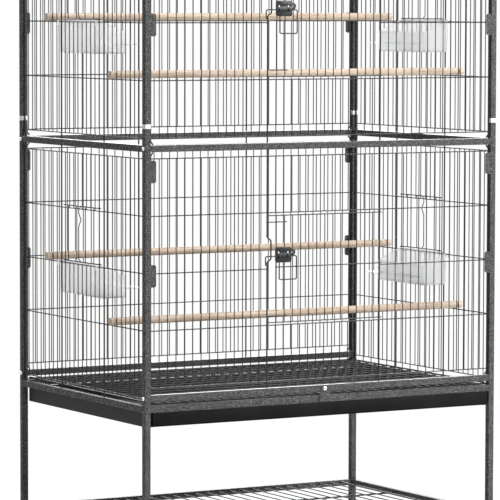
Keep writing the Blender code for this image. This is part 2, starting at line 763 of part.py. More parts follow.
def add_hook_plates(post, sx, sy, top_rail_z):
    """Two flat plates beside the post, in the front or rear plane."""
    half = PLATE_HEIGHT / 2
    reach = TUBE_WALL / 2 + PLATE_WIDTH
    upper = [(0.0, half), (reach - PLATE_CORNER, half), (reach, half - PLATE_CORNER)]
    outline = [(-sx * x, z) for x, z in upper + [(x, -z) for x, z in reversed(upper)]]
    x = sx * (POST_X - TUBE / 2 + TUBE_WALL / 2)
    y = sy * (OUTER_Y - PLATE_SET_BACK - PLATE_THICK / 2)
    for drop in PLATE_DROPS:
        plate = plate_object("hook_plate", [outline], PLATE_THICK)
        transform(plate, frame_matrix((x, y, top_rail_z - drop), (1, 0, 0), (0, 0, 1)))
        union(post, plate)


def build_rails():
    half_x = INNER_WIDTH / 2 - GAP
    half_y = INNER_DEPTH / 2 - GAP
    centre = TUBE / 2
    z = MID_RAIL_Z - centre
    for name, sy in (("front", -1), ("rear", 1)):
        rail = tube_object("mid_rail_" + name, (-half_x, sy * POST_Y, z), (half_x, sy * POST_Y, z))
        finish_piece(rail, HAMMERTONE)
    for name, sx in (("left", -1), ("right", 1)):
        rail = tube_object("mid_rail_" + name, (sx * POST_X, -half_y, z), (sx * POST_X, half_y, z))
        finish_piece(rail, HAMMERTONE)
    for level, z in (("upper", BASE_Z), ("lower", LOWER_RAIL_Z)):
        for name, sy in (("front", -1), ("rear", 1)):
            rail = tube_object("base_rail_" + name + "_" + level,
                               (-half_x, sy * POST_Y, z - centre), (half_x, sy * POST_Y, z - centre))
            if name == "front" and level == "upper":
                union(rail, lock_screw())
            finish_piece(rail, HAMMERTONE)
    for name, sx in (("left", -1), ("right", 1)):
        build_side_rail("base_rail_" + name, sx, half_y)


def build_side_rail(name, sx, half_y):
    """The side tube with the runner that carries the tray."""
    rail = tube_object(name, (sx * POST_X, -half_y, LOWER_RAIL_Z - TUBE / 2),
                       (sx * POST_X, half_y, LOWER_RAIL_Z - TUBE / 2))
    inner_x = sx * INNER_WIDTH / 2
    tray_bottom = LOWER_RAIL_BOTTOM_Z - GAP - TRAY_HEIGHT
    web_x = inner_x + sx * TUBE_CORNER
    web = box_object(name + "_web",
                     (web_x, -half_y + GAP, tray_bottom - GAP - RUNNER_WALL),
                     (web_x + sx * RUNNER_WALL, half_y - GAP, LOWER_RAIL_BOTTOM_Z + TUBE_WALL / 2))
    lip = box_object(name + "_lip",
                     (web_x + sx * RUNNER_WALL / 2, -half_y + 2 * GAP, tray_bottom - GAP),
                     (inner_x - sx * RUNNER_LIP, half_y - 2 * GAP,
                      tray_bottom - 2 * GAP - RUNNER_WALL))
    union(web, lip)
    union(rail, web)
    return finish_piece(rail, HAMMERTONE)


def lock_centre():
    return Vector((LOCK_PIVOT_OFFSET, -OUTER_Y, BASE_Z - LOCK_PIVOT_DROP))


def lock_screw():
    """The shoulder screw that the lock tab turns on."""
    centre = lock_centre()
    tab_out = GAP + LOCK_THICK + GAP
    screw = rod_object("lock_screw", centre + Vector((0, TUBE_WALL / 2, 0)),
                       centre - Vector((0, tab_out + SCREW_HEAD_HEIGHT / 2, 0)), SCREW_RADIUS, 8)
    head = rod_object("lock_screw_head", centre - Vector((0, tab_out, 0)),
                      centre - Vector((0, tab_out + SCREW_HEAD_HEIGHT, 0)), SCREW_HEAD_RADIUS, 8)
    return union(screw, head)


def build_lock_tab():
    """The turning tab that closes the slot of the grate."""
    top = LOCK_PIVOT_INSET
    bottom = top - LOCK_HEIGHT
    half = LOCK_WIDTH / 2
    left = [(-LOCK_NOSE / 2, top), (-half + LOCK_CORNER, top - LOCK_SHOULDER + LOCK_CORNER),
            (-half, top - LOCK_SHOULDER), (-half, bottom + LOCK_CORNER), (-half + LOCK_CORNER, bottom)]
    outline = left + [(-x, y) for x, y in reversed(left)]
    hole = circle(SCREW_RADIUS + GAP, 8)
    tab = plate_object("lock_tab", [outline, hole], LOCK_THICK)
    centre = lock_centre() - Vector((0, GAP + LOCK_THICK / 2, 0))
    transform(tab, frame_matrix((0, 0, 0), (1, 0, 0), (0, 0, 1)))
    tab.location = centre
    return finish_piece(tab, HAMMERTONE)


def build_grate():
    """The wire floor that slides into the slot."""
    half_x = INNER_WIDTH / 2 - GRATE_SIDE_CLEAR
    half_y = INNER_DEPTH / 2 + GRATE_SLOT_DEPTH
    low = LOWER_RAIL_Z + GAP
    frame_r = GRATE_FRAME_WIRE / 2
    wire_r = GRATE_WIRE / 2
    z = low + frame_r
    frame = bmesh.new()
    for sy in (-1, 1):
        add_bar(frame, (-half_x, sy * half_y, z), (half_x, sy * half_y, z), frame_r)
    grate = object_from_bmesh("grate", frame)
    cross_z = z + frame_r + wire_r - GAP
    side_x = half_x - GRATE_FRAME_WIRE
    ends = bmesh.new()
    for sx in (-1, 1):
        add_bar(ends, (sx * side_x, -half_y, cross_z - GAP), (sx * side_x, half_y, cross_z - GAP),
                frame_r)
    rods = bmesh.new()
    pitch = 2 * half_x / GRATE_SPACES
    for index in range(1, GRATE_SPACES):
        x = -half_x + pitch * index
        add_bar(rods, (x, -half_y, z), (x, half_y, z), wire_r)
    cross = bmesh.new()
    cross_pitch = 2 * half_y / GRATE_CROSS_SPACES
    for index in range(1, GRATE_CROSS_SPACES):
        y = -half_y + cross_pitch * index
        add_bar(cross, (-side_x, y, cross_z), (side_x, y, cross_z), wire_r)
    union(grate, object_from_bmesh("grate_rods", rods), object_from_bmesh("grate_ends", ends),
          object_from_bmesh("grate_cross", cross))
    return finish_piece(grate, WIRE_GREY)


def build_tray():
    """The shallow pull-out tray between the two runners."""
    half_x = INNER_WIDTH / 2 - TRAY_CLEAR
    half_y = INNER_DEPTH / 2 + TUBE - GAP
    rear_y = INNER_DEPTH / 2 - 2 * GAP
    top = LOWER_RAIL_BOTTOM_Z - GAP
    bottom = top - TRAY_HEIGHT
    tray = box_object("tray", (-half_x, -half_y, bottom), (half_x, rear_y, top))
    hollow = box_object("tray_hollow", (-half_x + TRAY_WALL, -half_y + TRAY_WALL, bottom + TRAY_WALL),
                        (half_x - TRAY_WALL, rear_y - TRAY_WALL, top + TRAY_WALL))
    cut(tray, hollow)
    return finish_piece(tray, TRAY_BLACK)


def build_framed_grille(name, top_z, spaces, cross_count, look=HAMMERTONE):
    """Four tubes between the posts with wires front to back, as on the shelf."""
    half_x = INNER_WIDTH / 2 - GAP
    half_y = INNER_DEPTH / 2 - GAP
    z = top_z - TUBE / 2
    frame = None
    for sy in (-1, 1):
        rail = tube_object(name + "_rail", (-half_x, sy * POST_Y, z), (half_x, sy * POST_Y, z))
        frame = rail if frame is None else union(frame, rail)
    for sx in (-1, 1):
        union(frame, tube_object(name + "_rail", (sx * POST_X, -half_y, z), (sx * POST_X, half_y, z)))
    wire_r = GRILLE_WIRE / 2
    strong_r = GRILLE_STRONG_WIRE / 2
    wire_z = top_z - TUBE_CORNER - strong_r - GAP
    reach_y = INNER_DEPTH / 2 + TUBE_WALL / 2
    reach_x = INNER_WIDTH / 2 + TUBE_WALL / 2
    pitch = INNER_WIDTH / spaces
    rods = bmesh.new()
    strong = bmesh.new()
    for index in range(1, spaces):
        x = -INNER_WIDTH / 2 + pitch * index
        if index in (1, spaces - 1):
            add_bar(strong, (x, -reach_y, wire_z), (x, reach_y, wire_z), strong_r)
        else:
            add_bar(rods, (x, -reach_y, wire_z), (x, reach_y, wire_z), wire_r)
    cross = bmesh.new()
    cross_z = wire_z - wire_r - GAP - strong_r
    for index in range(1, cross_count + 1):
        y = -INNER_DEPTH / 2 + INNER_DEPTH * index / (cross_count + 1)
        add_bar(cross, (-reach_x, y, cross_z), (reach_x, y, cross_z), strong_r)
    union(frame, object_from_bmesh(name + "_strong", strong))
    union(frame, object_from_bmesh(name + "_cross", cross))
    union(frame, object_from_bmesh(name + "_rods", rods))
    frame.name = name
    return finish_piece(frame, look)


def build_casters():
    radius = WHEEL_DIAMETER / 2
    bore = TUBE - 2 * TUBE_WALL
    for label, sx, sy in (("front_left", -1, -1), ("front_right", 1, -1),
                          ("rear_left", -1, 1), ("rear_right", 1, 1)):
        x = sx * POST_X
        y = sy * POST_Y
        wheel_y = y + sy * CASTER_TRAIL
        half = WHEEL_WIDTH / 2
        wheel = turned_wheel("caster_wheel_" + label, radius, half)
        wheel.location = (x, wheel_y, radius)
        finish_piece(wheel, WHEEL_BLACK)
        fork = build_fork("caster_fork_" + label, x, y, sy, radius, half, bore)
        set_origin(fork, (x, y, LEG_BOTTOM_Z))
        finish_piece(fork, ZINC)


def turned_wheel(name, radius, half):
    """A wheel turned about Z, then laid over so that its axle runs along X."""
    bore = AXLE_RADIUS + AXLE_BORE_CLEAR
    web = half - WHEEL_WEB_INSET
    upper = [(bore, web), (radius - WHEEL_RIM, web), (radius - WHEEL_TREAD_EDGE, half),
             (radius, half - WHEEL_TREAD_EDGE)]
    profile = upper + [(r, -z) for r, z in reversed(upper)]
    bm = bmesh.new()
    verts = [bm.verts.new((r, 0.0, z)) for r, z in profile]
    for index, vert in enumerate(verts):
        bm.edges.new((vert, verts[(index + 1) % len(verts)]))
    wheel = object_from_bmesh(name, bm)
    screw = wheel.modifiers.new("screw", "SCREW")
    screw.steps = WHEEL_SIDES
    screw.render_steps = WHEEL_SIDES
    screw.use_merge_vertices = True
    screw.merge_threshold = 0.00001
    wheel.data = evaluated_mesh(wheel)
    wheel.modifiers.clear()
    return transform(wheel, Matrix.Rotation(math.pi / 2, 4, "Y"))


def build_fork(name, x, y, trail_sign, radius, half, bore):
    """The swivel fork with its stem in the leg and its axle through the wheel."""
    wheel_y = y + trail_sign * CASTER_TRAIL
    back_y = y - trail_sign * STEM_COLLAR_RADIUS
    front_y = wheel_y + trail_sign * FORK_WIDTH / 2
    cheek_in = half + FORK_SIDE_CLEAR
    cheek_out = cheek_in + FORK_WALL
    crown = 2 * radius + FORK_TOP_CLEAR
    fork = box_object(name, (x - cheek_out, back_y, crown), (x + cheek_out, front_y, crown + FORK_WALL))
    edge = trail_sign * GAP
    foot = trail_sign * FORK_FOOT_WIDTH / 2
    outline = [(back_y + edge, crown + FORK_WALL / 2), (wheel_y - foot, radius - FORK_FOOT_DROP),
               (wheel_y + foot, radius - FORK_FOOT_DROP), (front_y - edge, crown + FORK_WALL / 2)]
    for sign in (-1, 1):
        cheek = plate_object(name + "_cheek", [outline], FORK_WALL)
        middle = x + sign * (cheek_in + FORK_WALL / 2 - GAP)
        union(fork, transform(cheek, frame_matrix((middle, 0, 0), (0, 1, 0), (0, 0, 1))))
    axle = rod_object(name + "_axle", (x - cheek_out - AXLE_PAST, wheel_y, radius),
                      (x + cheek_out + AXLE_PAST, wheel_y, radius), AXLE_RADIUS, 8)
    base = rod_object(name + "_collar", (x, y, crown + FORK_WALL / 2), (x, y, LEG_BOTTOM_Z - GAP),
                      STEM_COLLAR_RADIUS - GAP, 10)
    stem = rod_object(name + "_stem", (x, y, crown + FORK_WALL),
                      (x, y, LEG_BOTTOM_Z + STEM_LENGTH), bore / 2 - STEM_CLEAR, 8)
    union(fork, axle, base, stem)
    fork.name = name
    return fork


def main():
    clear_scene()
    make_collections()
    build_posts()
    build_rails()
    build_panels()
    for storey, base_z, side_rows in (("lower", BASE_Z, LOWER_SIDE_ROWS),
                                      ("upper", MID_RAIL_Z, FRONT_ROWS)):
        build_door("door_" + storey, base_z, FRONT_ROWS)
        build_latch("latch_" + storey, base_z, FRONT_ROWS)
        for side in (LEFT, RIGHT):
            name = storey + "_" + side.name
            build_feeder_door("feeder_door_" + name, side, base_z, side_rows)
            build_cup("cup_" + name, side, base_z, side_rows)
        build_perch("perch_" + storey + "_rear", 1, base_z + side_rows[2])
        build_perch("perch_" + storey + "_front", -1, base_z + side_rows[3])
    build_grate()
    build_tray()
    build_lock_tab()
    build_framed_grille("shelf", SHELF_TOP_Z, SHELF_SPACES, SHELF_CROSS)
    build_framed_grille("roof", TOP_Z, ROOF_SPACES, ROOF_CROSS)
    build_casters()


main()
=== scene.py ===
"""The looks of a two-storey bird cage on a rolling stand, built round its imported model."""
import math

import bmesh
import bpy
from mathutils import Matrix, Vector


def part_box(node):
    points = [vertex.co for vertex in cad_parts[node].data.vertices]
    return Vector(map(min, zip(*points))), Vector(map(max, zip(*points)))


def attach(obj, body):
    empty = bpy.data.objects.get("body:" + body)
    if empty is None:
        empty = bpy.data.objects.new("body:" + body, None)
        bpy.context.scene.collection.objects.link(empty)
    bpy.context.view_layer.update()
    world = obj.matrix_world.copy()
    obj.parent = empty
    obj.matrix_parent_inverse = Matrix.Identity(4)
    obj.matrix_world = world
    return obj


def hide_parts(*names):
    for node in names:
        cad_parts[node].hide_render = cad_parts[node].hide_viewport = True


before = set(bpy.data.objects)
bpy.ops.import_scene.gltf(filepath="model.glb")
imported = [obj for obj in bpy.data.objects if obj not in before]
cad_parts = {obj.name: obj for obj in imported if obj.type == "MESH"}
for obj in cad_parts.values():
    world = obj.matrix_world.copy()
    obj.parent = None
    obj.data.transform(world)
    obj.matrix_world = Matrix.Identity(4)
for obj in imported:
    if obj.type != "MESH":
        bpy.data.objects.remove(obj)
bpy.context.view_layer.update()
scene = bpy.context.scene

# The photograph's view. A long lens looks from the front left, a little above the
# middle of the cage, and its axis meets the middle of the picture.
CAMERA_PLACE = (-3.42495, -5.93687, 1.14229)
CAMERA_TURN = (85.843, -0.1342, -29.8688)
CAMERA_LENS = 248.149

camera_data = bpy.data.cameras.new("front_left_view")
camera_data.sensor_width = 36.0
camera_data.lens = CAMERA_LENS
camera_data.clip_end = 60.0
camera = bpy.data.objects.new("front_left_view", camera_data)
camera.location = CAMERA_PLACE
camera.rotation_euler = [math.radians(angle) for angle in CAMERA_TURN]
scene.collection.objects.link(camera)
scene.camera = camera

# Posts: half inch square steel tube with rounded corners, one length from the caster
# to just above the middle rail and one on top of it. Each has two small hook plates
# welded on, in the front or rear plane. All is coated in dark silver hammertone.
TUBE = 0.0127
TUBE_WALL = 0.0009
TUBE_CORNER = 0.0016
CORNER_STEPS = 4
INNER_WIDTH = 0.762
INNER_DEPTH = 0.508
BASE_Z = 0.400
STOREY_HEIGHT = 0.4572
MID_RAIL_Z = BASE_Z + STOREY_HEIGHT + TUBE
TOP_Z = MID_RAIL_Z + STOREY_HEIGHT + TUBE
POST_X = (INNER_WIDTH + TUBE) / 2
POST_Y = (INNER_DEPTH + TUBE) / 2
OUTER_X = POST_X + TUBE / 2
OUTER_Y = POST_Y + TUBE / 2
LEG_BOTTOM_Z = 0.060
COLLAR_RISE = 0.0305
COLLAR_HEIGHT = 0.0092
PLATE_WIDTH = 0.0115
PLATE_HEIGHT = 0.0425
PLATE_THICK = 0.0015
PLATE_SET_BACK = 0.0004
PLATE_CORNER = 0.0045
PLATE_DROPS = (0.0495, 0.2453)
PLATE_EDGE = 0.0003
FINE_EDGE = 0.0002
SHARP_ANGLE = math.radians(35)
SAME_POINT = 1e-6
CORNERS = (("front_left", -1, -1), ("front_right", 1, -1), ("rear_left", -1, 1),
           ("rear_right", 1, 1))


def coat(name, base, roughness, *sockets):
    """A material with object coordinates ready for its pattern."""
    material = bpy.data.materials.new(name)
    material.use_nodes = True
    material.diffuse_color = (*base, 1.0)
    tree = material.node_tree
    shader = tree.nodes["Principled BSDF"]
    for socket, value in (("Base Color", (*base, 1.0)), ("Roughness", roughness), *sockets):
        shader.inputs[socket].default_value = value
    place = tree.nodes.new("ShaderNodeTexCoord").outputs["Object"]
    return material, tree, shader, place


def build_node(tree, kind, inputs, **settings):
    """Add a node, join or set its inputs by name or place, and give its outputs."""
    made = tree.nodes.new(kind)
    for name, value in settings.items():
        setattr(made, name, value)
    for key, value in inputs.items():
        if isinstance(value, bpy.types.NodeSocket):
            tree.links.new(value, made.inputs[key])
        else:
            made.inputs[key].default_value = value
    return made.outputs


def ramp(tree, source, stops):
    """A colour ramp over a value; stops are pairs of place and colour or grey."""
    node = tree.nodes.new("ShaderNodeValToRGB")
    tree.links.new(source, node.inputs["Fac"])
    elements = node.color_ramp.elements
    while len(elements) < len(stops):
        elements.new(0.5)
    for element, (place, colour) in zip(elements, stops):
        element.position = place
        element.color = (*colour, 1.0) if isinstance(colour, tuple) else (colour, colour, colour, 1.0)
    return node.outputs["Color"]


def noise(tree, place, scale, detail=3.0, roughness=0.6, distortion=0.0):
    return build_node(tree, "ShaderNodeTexNoise", {
        "Vector": place, "Scale": scale, "Detail": detail, "Roughness": roughness,
        "Distortion": distortion})["Fac"]


def bump(tree, shader, height, strength, distance):
    raised = build_node(tree, "ShaderNodeBump", {
        "Height": height, "Strength": strength, "Distance": distance})
    tree.links.new(raised["Normal"], shader.inputs["Normal"])


def blend(tree, factor, low, high, kind="MIX"):
    """Mix two patterns or colours."""
    return build_node(tree, "ShaderNodeMix", {0: factor, 6: low, 7: high},
                      data_type="RGBA", blend_type=kind)[2]


def paint(tree, shader, pattern, stops, patches=None, shades=None):
    """Colour from a pattern's ramp, darker in the patches of a second one."""
    colour = ramp(tree, pattern, stops)
    if patches is not None:
        colour = blend(tree, 1.0, colour, ramp(tree, patches, shades), "MULTIPLY")
    tree.links.new(colour, shader.inputs["Base Color"])


def gloss(tree, shader, pattern, stops):
    tree.links.new(ramp(tree, pattern, stops), shader.inputs["Roughness"])


def evaluated(obj):
    """The object's mesh with its modifiers or nodes applied; the object goes."""
    graph = bpy.context.evaluated_depsgraph_get()
    graph.update()
    mesh = bpy.data.meshes.new_from_object(obj.evaluated_get(graph))
    bpy.data.objects.remove(obj, do_unlink=True)
    return mesh


def linked(name, data):
    obj = bpy.data.objects.new(name, data)
    scene.collection.objects.link(obj)
    return obj


def mesh_of(shape, name, *materials):
    """Worked geometry as a mesh with its materials."""
    mesh = bpy.data.meshes.new(name)
    shape.to_mesh(mesh)
    shape.free()
    for material in materials:
        mesh.materials.append(material)
    return mesh


def curve_of(name, paths, closed, dimensions):
    """A curve with one straight-sided run through each list of points."""
    curve = bpy.data.curves.new(name, "CURVE")
    curve.dimensions = dimensions
    for path in paths:
        spline = curve.splines.new("POLY")
        spline.points.add(len(path) - 1)
        for point, position in zip(spline.points, path):
            point.co = (*position, 1.0)
        spline.use_cyclic_u = closed
    return curve


def arc(radius, start, end, steps, centre=(0.0, 0.0)):
    """Points along an arc, from one angle to another in degrees."""
    angles = [math.radians(start + (end - start) * step / steps) for step in range(steps + 1)]
    return [(centre[0] + radius * math.cos(angle), centre[1] + radius * math.sin(angle))
            for angle in angles]


def rounded_rectangle(width, height, radius, steps=CORNER_STEPS):
    """Outline with round corners, counter-clockwise round the origin."""
    points = []
    for sx, sy, start in ((1, -1, -90), (1, 1, 0), (-1, 1, 90), (-1, -1, 180)):
        middle = (sx * (width / 2 - radius), sy * (height / 2 - radius))
        points += arc(radius, start, start + 90, steps, middle)
    return points


def flat_plate(outlines, thickness, material, edge=0.0):
    """A plate in the XY plane, centred on z = 0, with an eased edge."""
    curve = curve_of("outline", [[(x, y, 0.0) for x, y in outline] for outline in outlines], True, "2D")
    curve.fill_mode = "BOTH"
    curve.extrude = thickness / 2 - edge
    curve.bevel_depth = edge
    curve.bevel_resolution = 1
    curve.offset = -edge
    mesh = evaluated(linked("outline", curve))
    welded = bmesh.new()
    welded.from_mesh(mesh)
    bpy.data.meshes.remove(mesh)
    bmesh.ops.remove_doubles(welded, verts=welded.verts, dist=SAME_POINT)
    return mesh_of(welded, "plate", material)


def frame_matrix(origin, x_axis=(1, 0, 0), y_axis=(0, 0, 1)):
    """Takes local X and Y to the given directions, at an origin."""
    x_axis, y_axis = Vector(x_axis).normalized(), Vector(y_axis).normalized()
    matrix = Matrix((x_axis, y_axis, x_axis.cross(y_axis))).transposed().to_4x4()
    matrix.translation = Vector(origin)
    return matrix


def laid(point, axis="Y", quarters=1):
    """Lays what was made about Z along another axis, at a point."""
    return Matrix.Translation(point) @ Matrix.Rotation(quarters * math.pi / 2, 4, axis)


def moved(mesh, matrix):
    mesh.transform(matrix)
    return mesh


def square_tube(start, end):
    """An open square tube with round corners between two points."""
    start, end = Vector(start), Vector(end)
    axis = (end - start).normalized()
    side = Vector((0, 0, 1)) if abs(axis.z) < 0.5 else Vector((1, 0, 0))
    bore = TUBE - 2 * TUBE_WALL
    outlines = [rounded_rectangle(TUBE, TUBE, TUBE_CORNER),
                rounded_rectangle(bore, bore, TUBE_CORNER - TUBE_WALL)]
    mesh = flat_plate(outlines, (end - start).length, hammertone)
    return moved(mesh, frame_matrix((start + end) / 2, side, axis.cross(side)))


def make_piece(name, meshes, body, node=None, matrix=None, even=False):
    """Join meshes, with their materials, into one piece that rides on a body."""
    materials = []
    joined = bmesh.new()
    for mesh in meshes:
        if mesh.materials[0] not in materials:
            materials.append(mesh.materials[0])
        first = len(joined.faces)
        joined.from_mesh(mesh)
        joined.faces.ensure_lookup_table()
        for face in joined.faces[first:]:
            face.material_index = materials.index(mesh.materials[0])
            face.smooth = True
        bpy.data.meshes.remove(mesh)
    if matrix is not None:
        bmesh.ops.transform(joined, matrix=matrix, verts=joined.verts)
    data = mesh_of(joined, name, *materials)
    data.set_sharp_from_angle(angle=SHARP_ANGLE)
    piece = linked(name, data)
    if even:
        piece.modifiers.new("even_faces", "WEIGHTED_NORMAL").keep_sharp = True
    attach(piece, body)
    if node is not None:
        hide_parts(node)
    return piece


# Dark base with pale flakes that gather in little pools, as the coat dries.
hammertone, tree, shader, place = coat("hammertone_coat", (0.06, 0.062, 0.06), 0.30,
                                       ("Specular IOR Level", 0.03))
cells = build_node(tree, "ShaderNodeTexVoronoi", {"Vector": place, "Scale": 640.0})["Distance"]
pools = blend(tree, 0.5, cells, noise(tree, place, 900.0, 4.0, 0.7))
paint(tree, shader, pools, ((0.36, (0.014, 0.015, 0.014)), (0.47, (0.050, 0.052, 0.050)),
                            (0.58, (0.125, 0.129, 0.125)), (0.72, (0.30, 0.307, 0.30))),
      noise(tree, place, 45.0, 2.0), ((0.3, 0.82), (0.7, 1.0)))
gloss(tree, shader, pools, ((0.35, 0.20), (0.70, 0.34)))
bump(tree, shader, pools, 0.18, 0.0002)


def hook_plates(sx, sy, rail_top):
    """The two plates of one post and storey, rounded on their free side."""
    reach = TUBE_WALL / 2 + PLATE_WIDTH
    outline = [(x + reach / 2, z) for x, z in rounded_rectangle(reach, PLATE_HEIGHT, PLATE_CORNER)
               if x > 0]
    outline = [(0.0, -PLATE_HEIGHT / 2), *outline, (0.0, PLATE_HEIGHT / 2)]
    outline = [(-sx * x, z) for x, z in outline]
    x = sx * (POST_X - TUBE / 2 + TUBE_WALL / 2)
    y = sy * (OUTER_Y - PLATE_SET_BACK - PLATE_THICK / 2)
    for drop in PLATE_DROPS:
        yield moved(flat_plate([outline], PLATE_THICK, hammertone, PLATE_EDGE),
                    frame_matrix((x, y, rail_top - drop)))


for label, sx, sy in CORNERS:
    x, y = sx * POST_X, sy * POST_Y
    joint_z = MID_RAIL_Z + COLLAR_RISE
    lower_tube = square_tube((x, y, LEG_BOTTOM_Z), (x, y, joint_z))
    make_piece("leg_tube_" + label, [lower_tube, *hook_plates(sx, sy, MID_RAIL_Z)], "frame",
               "post_lower_" + label, even=True)
    upper_tube = square_tube((x, y, joint_z + COLLAR_HEIGHT), (x, y, TOP_Z))
    make_piece("top_tube_" + label, [upper_tube, *hook_plates(sx, sy, TOP_Z)], "frame",
               "post_upper_" + label, even=True)

# Collars: white plastic plugs that join the two lengths of each post. Only the
# flange between the tubes shows, flush with them and a little softer at its edges.
COLLAR_OVERHANG = 0.0003
COLLAR_CORNER = 0.0020
COLLAR_EDGE = 0.0008
TOUCH_GAP = 0.0003

white_plastic, tree, shader, place = coat("white_collar_plastic", (0.80, 0.82, 0.82), 0.42)
paint(tree, shader, noise(tree, place, 60.0, 2.0), ((0.35, (0.74, 0.76, 0.76)),
                                                    (0.65, (0.84, 0.86, 0.86))))
bump(tree, shader, noise(tree, place, 1400.0, 2.0), 0.15, 0.0001)

for label, sx, sy in CORNERS:
    low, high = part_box("collar_" + label)
    width = TUBE + 2 * COLLAR_OVERHANG
    flange = flat_plate([rounded_rectangle(width, width, COLLAR_CORNER)],
                        COLLAR_HEIGHT - 2 * TOUCH_GAP, white_plastic, COLLAR_EDGE)
    middle = Matrix.Translation((low + high) / 2)
    make_piece("collar_flange_" + label, [moved(flange, middle)], "frame",
               "collar_" + label)

# Rails: the same square tube, cut to fit between the posts at the middle and in the
# base. The base has two rails in front and behind, with the wire floor's slot between.
RAILS = ["mid_rail_front", "mid_rail_rear", "mid_rail_left", "mid_rail_right",
         "base_rail_front_upper", "base_rail_front_lower", "base_rail_rear_upper",
         "base_rail_rear_lower"]

for node in RAILS:
    low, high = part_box(node)
    z = high.z - TUBE / 2
    if node.endswith(("left", "right")):
        x = math.copysign(POST_X, low.x)
        ends = ((x, low.y, z), (x, high.y, z))
    else:
        y = math.copysign(POST_Y, low.y + high.y)
        ends = ((low.x, y, z), (high.x, y, z))
    make_piece(node.replace("rail", "tube"), [square_tube(*ends)], "frame", node,
               even=True)

# Side base rails: one tube on each side at the lower level. A thin folded steel runner,
# coated black and a little short at the back, is welded below it and carries the tray.
BASE_TUBE_TOP = 0.3798
RUNNER_WALL = 0.0010
RUNNER_LIP = 0.008
RUNNER_SHORT = 0.009

runner_coat, tree, shader, place = coat("black_runner_coat", (0.014, 0.014, 0.014), 0.5,
                                        ("Specular IOR Level", 0.12))
fleck = noise(tree, place, 300.0)
paint(tree, shader, fleck, ((0.35, 0.010), (0.70, 0.024)))
bump(tree, shader, fleck, 0.15, 0.0002)


def box_shape(low, high):
    """A plain box between two corners, ready to be worked."""
    low, high = Vector(low), Vector(high)
    shape = bmesh.new()
    bmesh.ops.create_cube(shape, size=1.0, matrix=Matrix.Translation((low + high) / 2)
                          @ Matrix.Diagonal((*(high - low), 1.0)))
    return shape


def block(low, high, material):
    """A box between two corners with its edges eased."""
    shape = box_shape(low, high)
    bmesh.ops.bevel(shape, geom=shape.edges[:], offset=FINE_EDGE, segments=2, affect="EDGES")
    return mesh_of(shape, "block", material)


for side, sx in (("left", -1), ("right", 1)):
    low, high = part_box("base_rail_" + side)
    x, z = sx * POST_X, high.z - TUBE / 2
    inner = sx * INNER_WIDTH / 2
    web = inner + sx * TUBE_CORNER
    outside, lip = web + sx * RUNNER_WALL, inner - sx * RUNNER_LIP
    meshes = [square_tube((x, low.y, z), (x, high.y, z))]
    for far_x, top in ((web, z - TUBE / 2 + TUBE_WALL / 2), (lip, low.z + RUNNER_WALL)):
        meshes.append(block((min(outside, far_x), low.y, low.z),
                            (max(outside, far_x), high.y - RUNNER_SHORT, top), runner_coat))
    make_piece("base_tube_" + side, meshes, "frame", "base_rail_" + side,
               even=True)

# Frame bolts: bright round heads with a socket on the posts' outer faces, one at the
# end of each cross rail. They draw the end frames and the rails together.
BOLT_HEAD = 0.0041
BOLT_DOME = 0.0022
BOLT_SOCKET = 0.0018
BOLT_SIDES = 20
SOCKET_SHARES = ((0.0, 0.35), (0.95, 0.35), (1.0, 0.96), (1.1, 1.0))
HEAD_SHARES = ((0.62, 0.94), (0.85, 0.72), (0.97, 0.4), (1.0, 0.0), (0.0, 0.0))
SHELF_TOP_Z = 0.1268
BOLT_LEVELS = (SHELF_TOP_Z - TUBE / 2, BASE_Z - TUBE / 2, MID_RAIL_Z - TUBE / 2, TOP_Z - TUBE / 2)

zinc, tree, shader, place = coat("bright_zinc_plate", (0.80, 0.80, 0.81), 0.26, ("Metallic", 1.0))
brushed = noise(tree, place, 260.0, 4.0)
paint(tree, shader, brushed, ((0.3, (0.70, 0.70, 0.71)), (0.7, (0.88, 0.88, 0.89))))
gloss(tree, shader, brushed, ((0.3, 0.18), (0.7, 0.34)))


def turned(profile, sides, material, closed=False):
    """A shape turned about Z from pairs of radius and height, top first."""
    shape = bmesh.new()
    verts = [shape.verts.new((radius, 0.0, z)) for radius, z in profile]
    pairs = list(zip(verts, verts[1:])) + ([(verts[-1], verts[0])] if closed else [])
    edges = [shape.edges.new(pair) for pair in pairs]
    bmesh.ops.spin(shape, geom=verts + edges, cent=(0, 0, 0), axis=(0, 0, 1), angle=2 * math.pi,
                   steps=sides, use_duplicate=False)
    bmesh.ops.remove_doubles(shape, verts=shape.verts, dist=SAME_POINT)
    bmesh.ops.recalc_face_normals(shape, faces=shape.faces)
    return mesh_of(shape, "turned", material)


def socket_head(radius, height, socket):
    """Profile of a low round head with a sunk socket, top first."""
    return [(size * across, height * up)
            for size, shares in ((socket, SOCKET_SHARES), (radius, HEAD_SHARES))
            for across, up in shares]


bolt_heads = []
for _, sx, sy in CORNERS:
    for z in BOLT_LEVELS:
        head = turned(socket_head(BOLT_HEAD, BOLT_DOME, BOLT_SOCKET), BOLT_SIDES, zinc)
        bolt_heads.append(moved(head, laid((sx * OUTER_X, sy * POST_Y, z), "Y", sx)))
make_piece("frame_bolts", bolt_heads, "frame")

